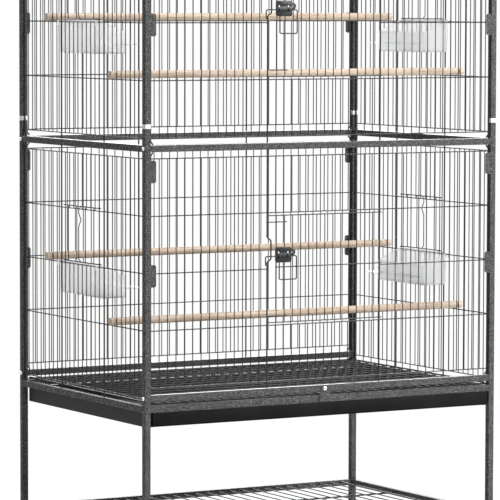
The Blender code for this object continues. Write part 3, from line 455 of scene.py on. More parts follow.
# Wire walls: each storey has four walls of welded steel wire. Thin uprights stand in
# front of thicker cross wires, two thick uprights and two end wires carry them, and
# the end wires' feet splay away from the posts. The front wall leaves out the door's
# field, each side wall the feeder's.
THIN_WIRE = 0.0019
CROSS_WIRE = 0.0023
THICK_WIRE = 0.0030
WELD_SINK = 0.0002
WELD_DEPTH = 0.0006
PANEL_INSET = 0.0050
ROW_MARGIN = 0.01265
ROW_COUNT = 5
FOOT_SPLAY = 0.005
FOOT_HEIGHT = 0.007
KEEPER_JOG = 0.0085
KEEPER_TOP = 0.0606
KEEPER_BOTTOM = 0.0129
KEEPER_RAMP = 0.0060
THICK_BEND = 0.004
FRONT_SPACES = 42
SIDE_SPACES = 28
FRONT_THICK = (14, 28)
SIDE_THICK = (9, 19)
FEEDER_GUIDES = (10, 18)
THIN = THIN_WIRE / 2
CROSS = CROSS_WIRE / 2
THICK = THICK_WIRE / 2
BACK_W = WELD_SINK - THIN - CROSS
THICK_W = WELD_DEPTH - THICK
END_INSET = THICK + COLLAR_OVERHANG + TOUCH_GAP
WELD_SIZE = 0.00125
WELD_FLATNESS = 0.8
WELD_SIDES = 8
ROUND_SIDES = 10
DOME_RINGS = 6
BEND_STEPS = 5


def node_tree(name, **inputs):
    """An empty geometry tree with named inputs, and its group input's sockets."""
    tree = bpy.data.node_groups.new(name, "GeometryNodeTree")
    tree.interface.new_socket("Geometry", in_out="OUTPUT", socket_type="NodeSocketGeometry")
    for label, kind in {"Geometry": "Geometry", **inputs, "Finish": "Material"}.items():
        tree.interface.new_socket(label, in_out="INPUT", socket_type="NodeSocket" + kind)
    return tree, tree.nodes.new("NodeGroupInput").outputs


def close_tree(tree, geometry, given):
    """Every tree ends in real geometry with its finish."""
    real = build_node(tree, "GeometryNodeRealizeInstances", {"Geometry": geometry})
    finished = build_node(tree, "GeometryNodeSetMaterial", {
        "Geometry": real["Geometry"], "Material": given["Finish"]})
    build_node(tree, "NodeGroupOutput", {"Geometry": finished["Geometry"]})
    return tree


def grown(tree, data, **values):
    """Run a tree on some data with its inputs set, and return a plain mesh."""
    source = linked("source", data)
    modifier = source.modifiers.new("nodes", "NODES")
    modifier.node_group = tree
    for item in tree.interface.items_tree:
        if item.in_out == "INPUT" and item.name in values:
            modifier[item.identifier] = values[item.name]
    mesh = evaluated(source)
    mesh.materials.clear()
    mesh.materials.append(values["Finish"])
    mesh.polygons.foreach_set("material_index", [0] * len(mesh.polygons))
    return mesh


def domes_tree():
    """A round head on every point, flattened along one axis."""
    tree, given = node_tree("round_heads", Radius="Float", Scale="Vector", Segments="Int")
    ball = build_node(tree, "GeometryNodeMeshUVSphere", {
        "Segments": given["Segments"], "Rings": DOME_RINGS, "Radius": given["Radius"]})
    heads = build_node(tree, "GeometryNodeInstanceOnPoints", {
        "Points": given["Geometry"], "Instance": ball["Mesh"], "Scale": given["Scale"]})
    return close_tree(tree, heads["Instances"], given)


def rods_tree():
    """A row of straight rods: a count, a first place and a step."""
    tree, given = node_tree("row_of_rods", Count="Int", First="Vector", Step="Vector", Length="Float",
                            Radius="Float", Sides="Int", Turn="Vector")
    line = build_node(tree, "GeometryNodeMeshLine", {
        "Count": given["Count"], "Start Location": given["First"], "Offset": given["Step"]},
        mode="OFFSET")
    rod = build_node(tree, "GeometryNodeMeshCylinder", {
        "Vertices": given["Sides"], "Radius": given["Radius"], "Depth": given["Length"]},
        fill_type="NGON")
    turn = build_node(tree, "FunctionNodeEulerToRotation", {"Euler": given["Turn"]})
    row = build_node(tree, "GeometryNodeInstanceOnPoints", {
        "Points": line["Mesh"], "Instance": rod["Mesh"], "Rotation": turn["Rotation"]})
    return close_tree(tree, row["Instances"], given)


def wires_tree():
    """Bent wires: every corner of the path is rounded, then swept by a circle."""
    tree, given = node_tree("bent_wires", Radius="Float", Bend="Float", Steps="Int", Sides="Int")
    fillet = build_node(tree, "GeometryNodeFilletCurve", {
        "Curve": given["Geometry"], "Radius": given["Bend"], "Count": given["Steps"],
        "Limit Radius": True}, mode="POLY")
    circle = build_node(tree, "GeometryNodeCurvePrimitiveCircle", {
        "Resolution": given["Sides"], "Radius": given["Radius"]})
    sweep = build_node(tree, "GeometryNodeCurveToMesh", {
        "Curve": fillet["Curve"], "Profile Curve": circle["Curve"], "Fill Caps": True})
    return close_tree(tree, sweep["Mesh"], given)


round_heads = domes_tree()
row_of_rods = rods_tree()
bent_wires = wires_tree()

# Dark grey coat, drawn smooth on the wire, with a faint fleck.
wire_finish, tree, shader, place = coat("dark_wire_coat", (0.058, 0.060, 0.060), 0.26,
                                        ("Specular IOR Level", 0.14))
fleck = noise(tree, place, 1100.0)
paint(tree, shader, fleck, ((0.35, (0.018, 0.019, 0.019)), (0.60, (0.042, 0.044, 0.044)),
                            (0.75, (0.10, 0.103, 0.103))),
      noise(tree, place, 30.0, 2.0), ((0.3, 0.80), (0.7, 1.0)))
bump(tree, shader, fleck, 0.2, 0.0001)


def weld_heads(points, flatness):
    """Flattened beads of weld on the wires' crossings."""
    mesh = bpy.data.meshes.new("points")
    mesh.from_pydata([tuple(point) for point in points], [], [])
    return grown(round_heads, mesh, Radius=WELD_SIZE, Scale=(1.0, flatness, 1.0),
                 Segments=WELD_SIDES, Finish=wire_finish)


def rods(count, first, step, length, radius, axis="Z", sides=ROUND_SIDES):
    """A row of rods along an axis, from the middle of the first one."""
    turn = {"X": (0.0, math.pi / 2, 0.0), "Y": (math.pi / 2, 0.0, 0.0), "Z": (0.0, 0.0, 0.0)}[axis]
    return grown(row_of_rods, bpy.data.meshes.new("rods"), Count=count, First=tuple(first),
                 Step=tuple(step), Length=length, Radius=radius, Sides=sides, Turn=turn,
                 Finish=wire_finish)


def wires(paths, radius, bend=0.0, closed=False, sides=ROUND_SIDES, material=wire_finish):
    """Wires along paths, each a list of points."""
    return grown(bent_wires, curve_of("wires", paths, closed, "3D"), Radius=radius, Bend=bend,
                 Steps=BEND_STEPS, Sides=sides, Finish=material)


def at(u, v, w):
    """A point in a wall's own frame: u along it, v up and w outwards."""
    return Vector((u, -w, v))


class Wall:
    """One side of the cage, turned about Z from the front."""

    def __init__(self, name, turn, half_length, half_outer, spaces, thick):
        self.name = name
        self.turn = Matrix.Rotation(math.radians(turn), 4, "Z")
        self.half = half_length - END_INSET
        self.plane = half_outer - PANEL_INSET
        self.spaces = spaces
        self.thick = thick

    def wire(self, index):
        return -self.half + 2 * self.half * index / self.spaces

    def step(self):
        return (self.wire(1) - self.wire(0), 0.0, 0.0)

    def matrix(self, base_z):
        return self.turn @ Matrix.Translation((0.0, -self.plane, base_z))


FRONT = Wall("front", 0, INNER_WIDTH / 2, OUTER_Y, FRONT_SPACES, FRONT_THICK)
REAR = Wall("rear", 180, INNER_WIDTH / 2, OUTER_Y, FRONT_SPACES, FRONT_THICK)
LEFT = Wall("left", -90, INNER_DEPTH / 2, OUTER_X, SIDE_SPACES, SIDE_THICK)
RIGHT = Wall("right", 90, INNER_DEPTH / 2, OUTER_X, SIDE_SPACES, SIDE_THICK)


def row_heights(floor):
    """Heights of the cross wires above the storey's base, top first."""
    first = STOREY_HEIGHT - ROW_MARGIN
    usual = STOREY_HEIGHT - 2 * ROW_MARGIN
    return [first - usual * i / (ROW_COUNT - 1) for i in range(ROW_COUNT - 1)] + [floor + ROW_MARGIN]


SIDE_FLOOR = BASE_TUBE_TOP - BASE_Z
ROWS = row_heights(0.0)
LOW_SIDE_ROWS = row_heights(SIDE_FLOOR)


def upright_rows(wall, rows, opening_rows, cut_wires):
    """Rows of thin uprights: their wires and the span that they cover."""
    spans = {}
    for index in range(1, wall.spaces):
        if index in wall.thick:
            continue
        if index in cut_wires:
            pairs = ((rows[0], rows[opening_rows[0]]), (rows[opening_rows[1]], rows[-1]))
        else:
            pairs = ((rows[0], rows[-1]),)
        for pair in pairs:
            groups = spans.setdefault(pair, [])
            if groups and groups[-1][-1] == index - 1:
                groups[-1].append(index)
            else:
                groups.append([index])
    return [(group, *pair) for pair, groups in spans.items() for group in groups]


def cross_paths(wall, rows, opening_rows):
    """The cross wires' runs, in front at the edges of an opening."""
    first, last = wall.wire(0), wall.wire(wall.spaces)
    left, right = (wall.wire(index) for index in wall.thick)
    paths = []
    for index, z in enumerate(rows):
        w = 0.0 if index in (0, ROW_COUNT - 1) else BACK_W
        runs = [(first, last, w)]
        if opening_rows is not None and opening_rows[0] <= index <= opening_rows[1]:
            runs = [(first, left, w), (right, last, w)]
            if index in opening_rows:
                runs.append((left, right, 0.0))
        paths += [[at(start, z, depth), at(end, z, depth)] for start, end, depth in runs]
    return paths


def thick_paths(wall, low, high, keeper_z):
    """The end wires with their splayed feet, then the two thick uprights, the first
    with the keeper's jog beside the door."""
    feet = [(FOOT_SPLAY, low + THICK / 2), (0.0, low + FOOT_HEIGHT), (0.0, high - FOOT_HEIGHT),
            (FOOT_SPLAY, high - THICK / 2)]
    jog = [] if keeper_z is None else [
        (0.0, keeper_z + KEEPER_BOTTOM), (KEEPER_JOG, keeper_z + KEEPER_BOTTOM + KEEPER_RAMP),
        (KEEPER_JOG, keeper_z + KEEPER_TOP - KEEPER_RAMP), (0.0, keeper_z + KEEPER_TOP)]
    shapes = ((0, 1, feet), (wall.spaces, -1, feet),
              (wall.thick[0], 1, [(0.0, low), *jog, (0.0, high)]),
              (wall.thick[1], 1, [(0.0, low), (0.0, high)]))
    return [[at(wall.wire(index) + inward * u, z, THICK_W) for u, z in shape]
            for index, inward, shape in shapes]


def wire_wall(storey, wall, base_z, rows, floor, opening_rows=None, cut_wires=()):
    """One wall of a storey, with its opening if it has one."""
    meshes, welds = [], []
    for group, top, bottom in upright_rows(wall, rows, opening_rows, cut_wires):
        first = at(wall.wire(group[0]), (top + bottom) / 2, 0.0)
        meshes.append(rods(len(group), first, wall.step(), top - bottom, THIN))
        for z in rows:
            if bottom - THIN <= z <= top + THIN:
                welds += [at(wall.wire(index), z, -THIN) for index in group]
    meshes.append(wires(cross_paths(wall, rows, opening_rows), CROSS))
    thick_wires = thick_paths(wall, floor + TOUCH_GAP, STOREY_HEIGHT - TOUCH_GAP,
                              rows[2] if wall is FRONT else None)
    meshes.append(wires(thick_wires, THICK, THICK_BEND))
    welds += [at(path[1].x, z, -THICK) for path in thick_wires for z in rows]
    meshes.append(weld_heads(welds, WELD_FLATNESS))
    place_name = storey + "_" + wall.name
    make_piece("wire_wall_" + place_name, meshes, "frame", "panel_" + place_name,
               wall.matrix(base_z))


STOREYS = (("lower", BASE_Z, LOW_SIDE_ROWS, SIDE_FLOOR), ("upper", MID_RAIL_Z, ROWS, 0.0))
DOOR_ROWS = (1, 3)
FEEDER_ROWS = (1, 2)

for storey, base_z, side_rows, side_floor in STOREYS:
    wire_wall(storey, FRONT, base_z, ROWS, 0.0, DOOR_ROWS,
              range(FRONT_THICK[0] + 1, FRONT_THICK[1]))
    wire_wall(storey, REAR, base_z, ROWS, 0.0)
    for wall in (LEFT, RIGHT):
        wire_wall(storey, wall, base_z, side_rows, side_floor, FEEDER_ROWS,
                  range(FEEDER_GUIDES[0] + 1, FEEDER_GUIDES[1]))

# Front doors: a field of thin uprights on three bars. At the right each bar ends in
# an eye round the thick wire, and at the left the outer bars turn back as hooks.
DOOR_STAND_OFF = 0.0029
DOOR_EDGE_GAP = 0.0055
DOOR_MID_RISE = 0.0035
DOOR_HOOK_DEPTH = 0.0125
DOOR_HOOK_PAST = 0.0026
DOOR_HOOK_LENGTH = 0.041
DOOR_BEND = 0.0035
DOOR_WELD_FLATNESS = 0.9
EYE_SWEEP = 285
EYE_STEPS = 16


def eye_path(u, z, w, wire_w, direction):
    """The loop that a bar in the plane w bends round an upright wire."""
    return [at(u + direction * x, z, wire_w + y)
            for x, y in arc(w - wire_w, 90, 90 - EYE_SWEEP, EYE_STEPS)]


# Latch plates and bolts: a small rounded plate is welded to the door's wires. Its two
# straps hold a round bolt that slides past the keeper wire, and the bolt's end is
# bent into a loop for the fingers.
LATCH_PLATE_WIDTH = 0.0364
LATCH_PLATE_HEIGHT = 0.030
LATCH_PLATE_THICK = 0.0012
LATCH_PLATE_CORNER = 0.005
LATCH_CORNER_STEPS = 6
LATCH_PLATE_OFFSET = 0.0148
LATCH_HOLE = 0.0036
LATCH_HOLE_INSET = 0.0080
LATCH_HOLE_RISE = 0.0045
LATCH_PLATE_RISE = 0.0025
LATCH_EAR_PAST = 0.0085
LATCH_EAR_HEIGHT = 0.0130
LATCH_EAR_HOLE = 0.0046
EAR_STEPS = 12
HOLE_SIDES = 20
BOLT_WIRE = 0.0024
BOLT_RISE = 0.0245
BOLT_TIP_PAST = 0.0075
BOLT_TIP_DROP = 0.0175
BOLT_LOOP_LEFT = 0.0228
BOLT_LOOP_RIGHT = 0.061
BOLT_LOOP_DROP = 0.045
BOLT_BEND = 0.0030
BOLT_WIRE_SIDES = 12
STRAP_WIDTH = 0.004
STRAP_WALL = 0.0011
STRAP_EDGE = 0.0001
STRAP_STEPS = 16
BOLT_CLEARANCE = 0.0004
PLATE_W = DOOR_STAND_OFF + THIN - WELD_DEPTH / 2 + LATCH_PLATE_THICK / 2
BOLT_W = PLATE_W + LATCH_PLATE_THICK / 2 + BOLT_CLEARANCE + BOLT_WIRE / 2


def ring(radius, steps, centre=(0.0, 0.0)):
    return arc(radius, 0, 360, steps, centre)[:-1]


def latch_plate(row_z, keeper_u):
    """The plate with its eared end, its three holes and two straps over the bolt."""
    side_u, half_ear = LATCH_PLATE_WIDTH / 2, LATCH_EAR_HEIGHT / 2
    centre_u = keeper_u + LATCH_PLATE_OFFSET + side_u
    hole_u, ear_u = side_u - LATCH_HOLE_INSET, side_u + LATCH_EAR_PAST - half_ear
    outline = rounded_rectangle(LATCH_PLATE_WIDTH, LATCH_PLATE_HEIGHT, LATCH_PLATE_CORNER,
                                LATCH_CORNER_STEPS)
    ear = [(side_u, LATCH_HOLE_RISE - half_ear),
           *arc(half_ear, -90, 90, EAR_STEPS, (ear_u, LATCH_HOLE_RISE)),
           (side_u, LATCH_HOLE_RISE + half_ear)]
    after = LATCH_CORNER_STEPS + 1
    outline[after:after] = ear
    holes = [ring(size / 2, HOLE_SIDES, (u, LATCH_HOLE_RISE)) for size, u in (
        (LATCH_HOLE, -hole_u), (LATCH_HOLE, hole_u), (LATCH_EAR_HOLE, ear_u))]
    plate = flat_plate([outline, *holes], LATCH_PLATE_THICK, wire_finish, FINE_EDGE)
    centre = at(centre_u, row_z + BOLT_RISE + LATCH_PLATE_RISE, PLATE_W)
    yield moved(plate, frame_matrix(centre))
    reach = BOLT_WIRE / 2 + BOLT_CLEARANCE
    outer, back = reach + STRAP_WALL, PLATE_W - BOLT_W
    strap_outlines = [arc(outer, 0, 180, STRAP_STEPS) + [(-outer, back), (outer, back)],
                      ring(reach, HOLE_SIDES)]
    for sign in (-1, 1):
        strap = flat_plate(strap_outlines, STRAP_WIDTH, wire_finish, STRAP_EDGE)
        centre = at(centre_u + sign * hole_u, row_z + BOLT_RISE, BOLT_W)
        yield moved(strap, frame_matrix(centre, (0, 0, 1), (0, -1, 0)))


keeper_u, hinge_u = (FRONT.wire(index) for index in FRONT_THICK)
inner_wires = [FRONT.wire(index) for index in range(FRONT_THICK[0] + 1, FRONT_THICK[1])]
top, bottom = ROWS[DOOR_ROWS[0]] - DOOR_EDGE_GAP, ROWS[DOOR_ROWS[1]] + DOOR_EDGE_GAP
middle, bolt_z = ROWS[2] + DOOR_MID_RISE, ROWS[2] + BOLT_RISE
w = DOOR_STAND_OFF

for storey, base_z, _, _ in STOREYS:
    bars = []
    for z, turn in ((top, -1), (bottom, 1)):
        back_z = z + turn * DOOR_HOOK_DEPTH
        hook = [(keeper_u - DOOR_HOOK_PAST, z), (keeper_u - DOOR_HOOK_PAST, back_z),
                (keeper_u + DOOR_HOOK_LENGTH, back_z)]
        bars.append(eye_path(hinge_u, z, w, THICK_W, 1)[::-1] + [at(u, v, w) for u, v in hook])
    bars.append([at(inner_wires[0] - THIN_WIRE, middle, w)]
                + eye_path(hinge_u, middle, w, THICK_W, 1))
    meshes = [wires(bars, CROSS, DOOR_BEND),
              rods(len(inner_wires), at(inner_wires[0], (top + bottom) / 2, w), FRONT.step(),
                   top - bottom + WELD_DEPTH, THIN),
              weld_heads([at(u, z, w) for u in inner_wires for z in (top, middle, bottom)],
                         DOOR_WELD_FLATNESS),
              *latch_plate(ROWS[2], keeper_u)]
    make_piece("wire_door_" + storey, meshes, "door_" + storey, "door_" + storey,
               FRONT.matrix(base_z))
    tip_u, right_u = keeper_u - BOLT_TIP_PAST, keeper_u + BOLT_LOOP_RIGHT
    loop_u, low_z = keeper_u + BOLT_LOOP_LEFT, bolt_z - BOLT_LOOP_DROP
    path = [(tip_u, bolt_z - BOLT_TIP_DROP), (tip_u, bolt_z), (right_u, bolt_z), (right_u, low_z),
            (loop_u, low_z), (loop_u, bolt_z + LATCH_PLATE_RISE - LATCH_PLATE_HEIGHT / 2)]
    bolt = wires([[at(u, v, BOLT_W) for u, v in path]], BOLT_WIRE / 2, BOLT_BEND,
                 sides=BOLT_WIRE_SIDES)
    make_piece("latch_bolt_" + storey, [bolt], "latch_" + storey, "latch_" + storey,
               FRONT.matrix(base_z))

# Feeder doors: small wire doors in the side walls that slide up on two of the wall's
# own uprights. Eyes hold the two bars, and the middle wire is kinked as a finger grip.
FEEDER_STAND_OFF = 0.00275
FEEDER_BAR_RISE = 0.0056
FEEDER_HANDLE_OUT = 0.0052
FEEDER_KINK_HEIGHT = 0.027
FEEDER_KINK_DROP = 0.007
GRIP_BEND = 0.003


def feeder_door(node, wall, base_z, rows):
    """A small door: two bars with eyes, thin uprights and the kinked grip."""
    low_u, high_u = (wall.wire(index) for index in FEEDER_GUIDES)
    top, bottom = (rows[index] + FEEDER_BAR_RISE for index in FEEDER_ROWS)
    w = FEEDER_STAND_OFF
    bars = [eye_path(low_u, z, w, 0.0, -1)[::-1] + eye_path(high_u, z, w, 0.0, 1)
            for z in (top, bottom)]
    pitch = wall.wire(1) - wall.wire(0)
    first = at(low_u + pitch, (top + bottom) / 2, w)
    uprights = rods((FEEDER_GUIDES[1] - FEEDER_GUIDES[0]) // 2, first, (2 * pitch, 0.0, 0.0),
                    top - bottom + WELD_DEPTH, THIN)
    out = w + FEEDER_HANDLE_OUT
    kink = top - FEEDER_KINK_DROP - FEEDER_BAR_RISE
    grip = [at(0.0, v, depth) for v, depth in (
        (bottom, w), (bottom + FEEDER_HANDLE_OUT, out), (kink - FEEDER_KINK_HEIGHT, out),
        (kink - FEEDER_KINK_HEIGHT / 2, w), (kink, out), (top - FEEDER_HANDLE_OUT, out), (top, w))]
    meshes = [wires(bars, CROSS), uprights, wires([grip], THIN, GRIP_BEND)]
    make_piece("sliding_" + node, meshes, node, node, wall.matrix(base_z))


# Cups: thin moulded boxes of milky plastic that hang inside the side walls on two
# hooks. The wall towards the middle of the cage is lower, with a ledge to stand on.
CUP_LENGTH = 0.178
CUP_DEPTH = 0.057
CUP_HEIGHT = 0.0645
CUP_LOW_HEIGHT = 0.040
CUP_WALL = 0.0016
CUP_RISE = 0.0035
CUP_CORNER = 0.0060
CUP_CORNER_STEPS = 5
CUP_RIM = 0.0011
CUP_RIM_EASE = CUP_RIM * 0.6
CUP_RIM_SIDES = 8
CUP_LIP_WIDTH = 0.030
CUP_LIP_THICK = 0.0016
CUP_LIP_RISE = 0.018
CUP_LIP_CORNER = 0.012
CUP_LIP_STEPS = 6
CUP_HOOK_WIDTH = 0.007
CUP_HOOK_THICK = 0.0016
CUP_HOOK_LEG = 0.007
CUP_HOOK_SPACES = (8, 17)
CUP_TO_WIRE = -(THIN + CROSS + TOUCH_GAP) - CROSS - 2 * TOUCH_GAP

cup_plastic, tree, shader, place = coat("milky_cup_plastic", (0.98, 0.983, 0.99), 0.32,
                                        ("Transmission Weight", 0.88), ("IOR", 1.18))
paint(tree, shader, noise(tree, place, 26.0, 3.0, 0.5), ((0.30, (0.97, 0.975, 0.985)),
                                                         (0.70, (0.99, 0.992, 0.995))))
bump(tree, shader, noise(tree, place, 300.0, 2.0), 0.08, 0.0002)


def walled(mesh, thickness):
    """The object of a shell, with its wall put on the inner side."""
    shell = linked("shell", mesh)
    wall = shell.modifiers.new("wall", "SOLIDIFY")
    wall.thickness = thickness
    wall.offset = -1.0
    wall.use_even_offset = True
    return shell


def cup_shell(corners, bottom):
    """An open box with round corners, from its rim down, given its wall."""
    shape = bmesh.new()
    base = [shape.verts.new(at(u, bottom, w)) for u, _, w in corners]
    rim = [shape.verts.new(at(u, v, w)) for u, v, w in corners]
    shape.faces.new(base)
    for i in range(4):
        j = (i + 1) % 4
        shape.faces.new((base[i], base[j], rim[j], rim[i]))
    bmesh.ops.recalc_face_normals(shape, faces=shape.faces)
    shape.faces.ensure_lookup_table()
    if shape.faces[0].normal.z > 0:
        bmesh.ops.reverse_faces(shape, faces=shape.faces)
    edges = [edge for edge in shape.edges if len(edge.link_faces) == 2]
    bmesh.ops.bevel(shape, geom=edges, offset=CUP_CORNER, segments=CUP_CORNER_STEPS,
                    affect="EDGES", profile=0.5)
    return evaluated(walled(mesh_of(shape, "cup_shell", cup_plastic), CUP_WALL))


def hanging_cup(node, wall, base_z, rows):
    """A cup with its rim bead, its ledge and the two hooks over a cross wire."""
    row = rows[FEEDER_ROWS[1]]
    hook_places = [(wall.wire(space) + wall.wire(space + 1)) / 2 for space in CUP_HOOK_SPACES]
    middle = sum(hook_places) / 2
    outer_w, inner_w = CUP_TO_WIRE, CUP_TO_WIRE - CUP_DEPTH
    top = row + CUP_RISE
    bottom, half = top - CUP_HEIGHT, CUP_LENGTH / 2
    low = bottom + CUP_LOW_HEIGHT
    corners = ((-half, low, inner_w), (half, low, inner_w), (half, top, outer_w),
               (-half, top, outer_w))
    ease = CUP_RIM_EASE
    rim = [at(u - math.copysign(ease, u), v - ease, w + (ease if w == inner_w else -ease))
           for u, v, w in corners]
    meshes = [cup_shell(corners, bottom),
              wires([rim], CUP_RIM, CUP_CORNER, True, CUP_RIM_SIDES, cup_plastic)]
    reach, after = CUP_LIP_WIDTH + CUP_WALL, CUP_LIP_STEPS + 1
    outline = rounded_rectangle(CUP_LENGTH - 2 * CUP_RIM, reach, CUP_LIP_CORNER, CUP_LIP_STEPS)
    ledge = [(x, y - reach / 2) for x, y in outline[-after:] + outline[:after]]
    ledge += [(half - CUP_RIM, 0.0), (CUP_RIM - half, 0.0)]
    meshes.append(moved(flat_plate([ledge], CUP_LIP_THICK, cup_plastic, PLATE_EDGE),
                        frame_matrix(at(0.0, bottom + CUP_LIP_RISE, inner_w + CUP_WALL / 2),
                                     (1, 0, 0), (0, -1, 0))))
    under = row + CROSS + TOUCH_GAP
    over, foot = under + CUP_HOOK_THICK, row - CUP_HOOK_LEG
    leg_w, root_w = CROSS + TOUCH_GAP, outer_w - CUP_WALL / 2
    hook = [(root_w, under), (leg_w, under), (leg_w, foot), (leg_w + CUP_HOOK_THICK, foot),
            (leg_w + CUP_HOOK_THICK, over), (root_w, over)]
    for place in hook_places:
        meshes.append(moved(flat_plate([hook], CUP_HOOK_WIDTH, cup_plastic, PLATE_EDGE),
                            frame_matrix(at(place - middle, 0.0, 0.0), (0, -1, 0), (0, 0, 1))))
    make_piece("hanging_" + node, meshes, "frame", node,
               wall.matrix(base_z) @ Matrix.Translation(at(middle, 0.0, 0.0)))


for storey, base_z, side_rows, _ in STOREYS:
    for wall in (LEFT, RIGHT):
        feeder_door(f"feeder_door_{storey}_{wall.name}", wall, base_z, side_rows)
        hanging_cup(f"cup_{storey}_{wall.name}", wall, base_z, side_rows)

# Perches: plain turned dowels of pale wood, sanded at the ends, that rest on the side
# walls' cross wires and reach out through them.
PERCH_EASE = 0.0012
PERCH_KNEE = PERCH_EASE * 0.3
PERCH_SIDES = 32

# Pale straight grain along the dowel, with pores and a few darker streaks.
perch_wood, tree, shader, place = coat("pale_dowel_wood", (0.62, 0.45, 0.30), 0.58)
along = build_node(tree, "ShaderNodeMapping", {"Vector": place, "Scale": (0.035, 1.0, 1.0)})["Vector"]
grain = noise(tree, along, 420.0, 5.0, 0.62, 0.6)
paint(tree, shader, grain, ((0.28, (0.42, 0.325, 0.24)), (0.48, (0.545, 0.435, 0.34)),
                            (0.72, (0.66, 0.555, 0.455))),
      noise(tree, along, 95.0, 3.0, 0.5, 1.2), ((0.32, (0.86, 0.81, 0.76)), (0.60, 1.0)))
gloss(tree, shader, grain, ((0.3, 0.66), (0.7, 0.50)))
bump(tree, shader, grain, 0.35, 0.0004)


def mirrored(profile):
    return [(radius, -z) for radius, z in reversed(profile)]


for storey in ("lower", "upper"):
    for place_name in ("front", "rear"):
        node = "perch_" + storey + "_" + place_name
        low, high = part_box(node)
        radius, half = (high.z - low.z) / 2, (high.x - low.x) / 2
        profile = [(0.0, half), (radius - PERCH_EASE, half),
                   (radius - PERCH_KNEE, half - PERCH_KNEE), (radius, half - PERCH_EASE)]
        dowel = moved(turned(profile + mirrored(profile), PERCH_SIDES, perch_wood),
                      laid((low + high) / 2))
        make_piece("dowel_" + storey + "_" + place_name, [dowel], "frame", node)

# Wire floor: a welded mesh that lies over the lower base rails. Rods run front to
# back, finer wires cross on top of them, and heavier wire frames the edge.
GRATE_WIRE = 0.0024
GRATE_FRAME_WIRE = 0.0034
GRATE_SPACES = 36
GRATE_CROSS_SPACES = 16
GRATE_SIDES = 8

low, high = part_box("grate")
frame_r, wire_r = GRATE_FRAME_WIRE / 2, GRATE_WIRE / 2
half_x, half_y = high.x, high.y - frame_r
z = low.z + frame_r
cross_z = z + frame_r + wire_r - TOUCH_GAP
side_x = half_x - GRATE_FRAME_WIRE
pitch, cross_pitch = 2 * half_x / GRATE_SPACES, 2 * half_y / GRATE_CROSS_SPACES
grate_meshes = [
    rods(GRATE_SPACES - 1, (-half_x + pitch, 0.0, z), (pitch, 0.0, 0.0), 2 * half_y, wire_r, "Y",
         GRATE_SIDES),
    rods(GRATE_CROSS_SPACES - 1, (0.0, -half_y + cross_pitch, cross_z), (0.0, cross_pitch, 0.0),
         2 * side_x, wire_r, "X", GRATE_SIDES),
    rods(2, (0.0, -half_y, z), (0.0, 2 * half_y, 0.0), 2 * half_x, frame_r, "X"),
    rods(2, (-side_x, 0.0, cross_z - TOUCH_GAP), (2 * side_x, 0.0, 0.0), 2 * half_y, frame_r, "Y")]
make_piece("floor_mesh", grate_meshes, "frame", "grate")

# Tray: a shallow pan of black enamelled sheet steel that slides on the runners. Its
# front wall closes the gap under the front rails.
TRAY_WALL = 0.0016
TRAY_CORNER = 0.0035
TRAY_CORNER_STEPS = 4
TRAY_HEM = 0.0004

tray_enamel, tree, shader, place = coat("black_tray_enamel", (0.008, 0.008, 0.008), 0.55,
                                        ("Specular IOR Level", 0.06))
orange_peel = noise(tree, place, 240.0)
paint(tree, shader, noise(tree, place, 12.0, 4.0), ((0.3, 0.006), (0.7, (0.011, 0.011, 0.012))))
gloss(tree, shader, orange_peel, ((0.3, 0.48), (0.7, 0.62)))
bump(tree, shader, orange_peel, 0.12, 0.0002)

shape = box_shape(*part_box("tray"))
lid = max(shape.faces, key=lambda face: face.calc_center_median().z)
bmesh.ops.delete(shape, geom=[lid], context="FACES_ONLY")
bmesh.ops.bevel(shape, geom=[edge for edge in shape.edges if len(edge.link_faces) == 2],
                offset=TRAY_CORNER, segments=TRAY_CORNER_STEPS, affect="EDGES")
pan = walled(mesh_of(shape, "pan", tray_enamel), TRAY_WALL)
hem = pan.modifiers.new("hem", "BEVEL")
hem.width = TRAY_HEM
hem.segments = 2
hem.limit_method = "ANGLE"
make_piece("tray_pan", [evaluated(pan)], "tray", "tray")

# Lock tab: a small steel tongue on a shoulder screw in the middle of the front rail,
# wider towards its foot. It turns down over the slot to keep the wire floor in.
LOCK_WIDTH = 0.026
LOCK_HEIGHT = 0.030
LOCK_THICK = 0.0012
LOCK_CORNER = 0.003
LOCK_FLARE = ((0.64, 0.0045), (0.74, 0.0095), (0.86, 0.0160), (0.95, 0.0210))
LOCK_NOSE = 0.009
LOCK_PIVOT_DROP = 0.0066
LOCK_PIVOT_INSET = 0.005
LOCK_PIVOT_OFFSET = -0.0005
SCREW_RADIUS = 0.0017
SCREW_HEAD_RADIUS = 0.0044
SCREW_HEAD_HEIGHT = 0.0022
SCREW_SOCKET = 0.0017
SCREW_SIDES = 24

top, bottom, half = LOCK_PIVOT_INSET, LOCK_PIVOT_INSET - LOCK_HEIGHT, LOCK_WIDTH / 2
left = arc(LOCK_CORNER, 90, 180, 6, (-LOCK_NOSE / 2, top - LOCK_CORNER))
left += [(-half * share, top - drop) for share, drop in LOCK_FLARE]
left += arc(LOCK_CORNER, 180, 270, 4, (LOCK_CORNER - half, bottom + LOCK_CORNER))
outline = left + [(-x, y) for x, y in reversed(left)]
pivot = Vector((LOCK_PIVOT_OFFSET, -OUTER_Y, BASE_Z - LOCK_PIVOT_DROP))
hole = ring(SCREW_RADIUS + TOUCH_GAP, SCREW_SIDES)
tab = flat_plate([outline, hole], LOCK_THICK, hammertone, FINE_EDGE)
tab_place = pivot - Vector((0, TOUCH_GAP + LOCK_THICK / 2, 0))
make_piece("floor_lock_tab", [moved(tab, frame_matrix(tab_place))], "lock_tab",
           "lock_tab")
out = TOUCH_GAP + LOCK_THICK + TOUCH_GAP
head = socket_head(SCREW_HEAD_RADIUS, SCREW_HEAD_HEIGHT, SCREW_SOCKET)[:-1]
profile = [(r, z + out) for r, z in head]
profile += [(SCREW_RADIUS, out), (SCREW_RADIUS, -TUBE_WALL / 2), (0.0, -TUBE_WALL / 2)]
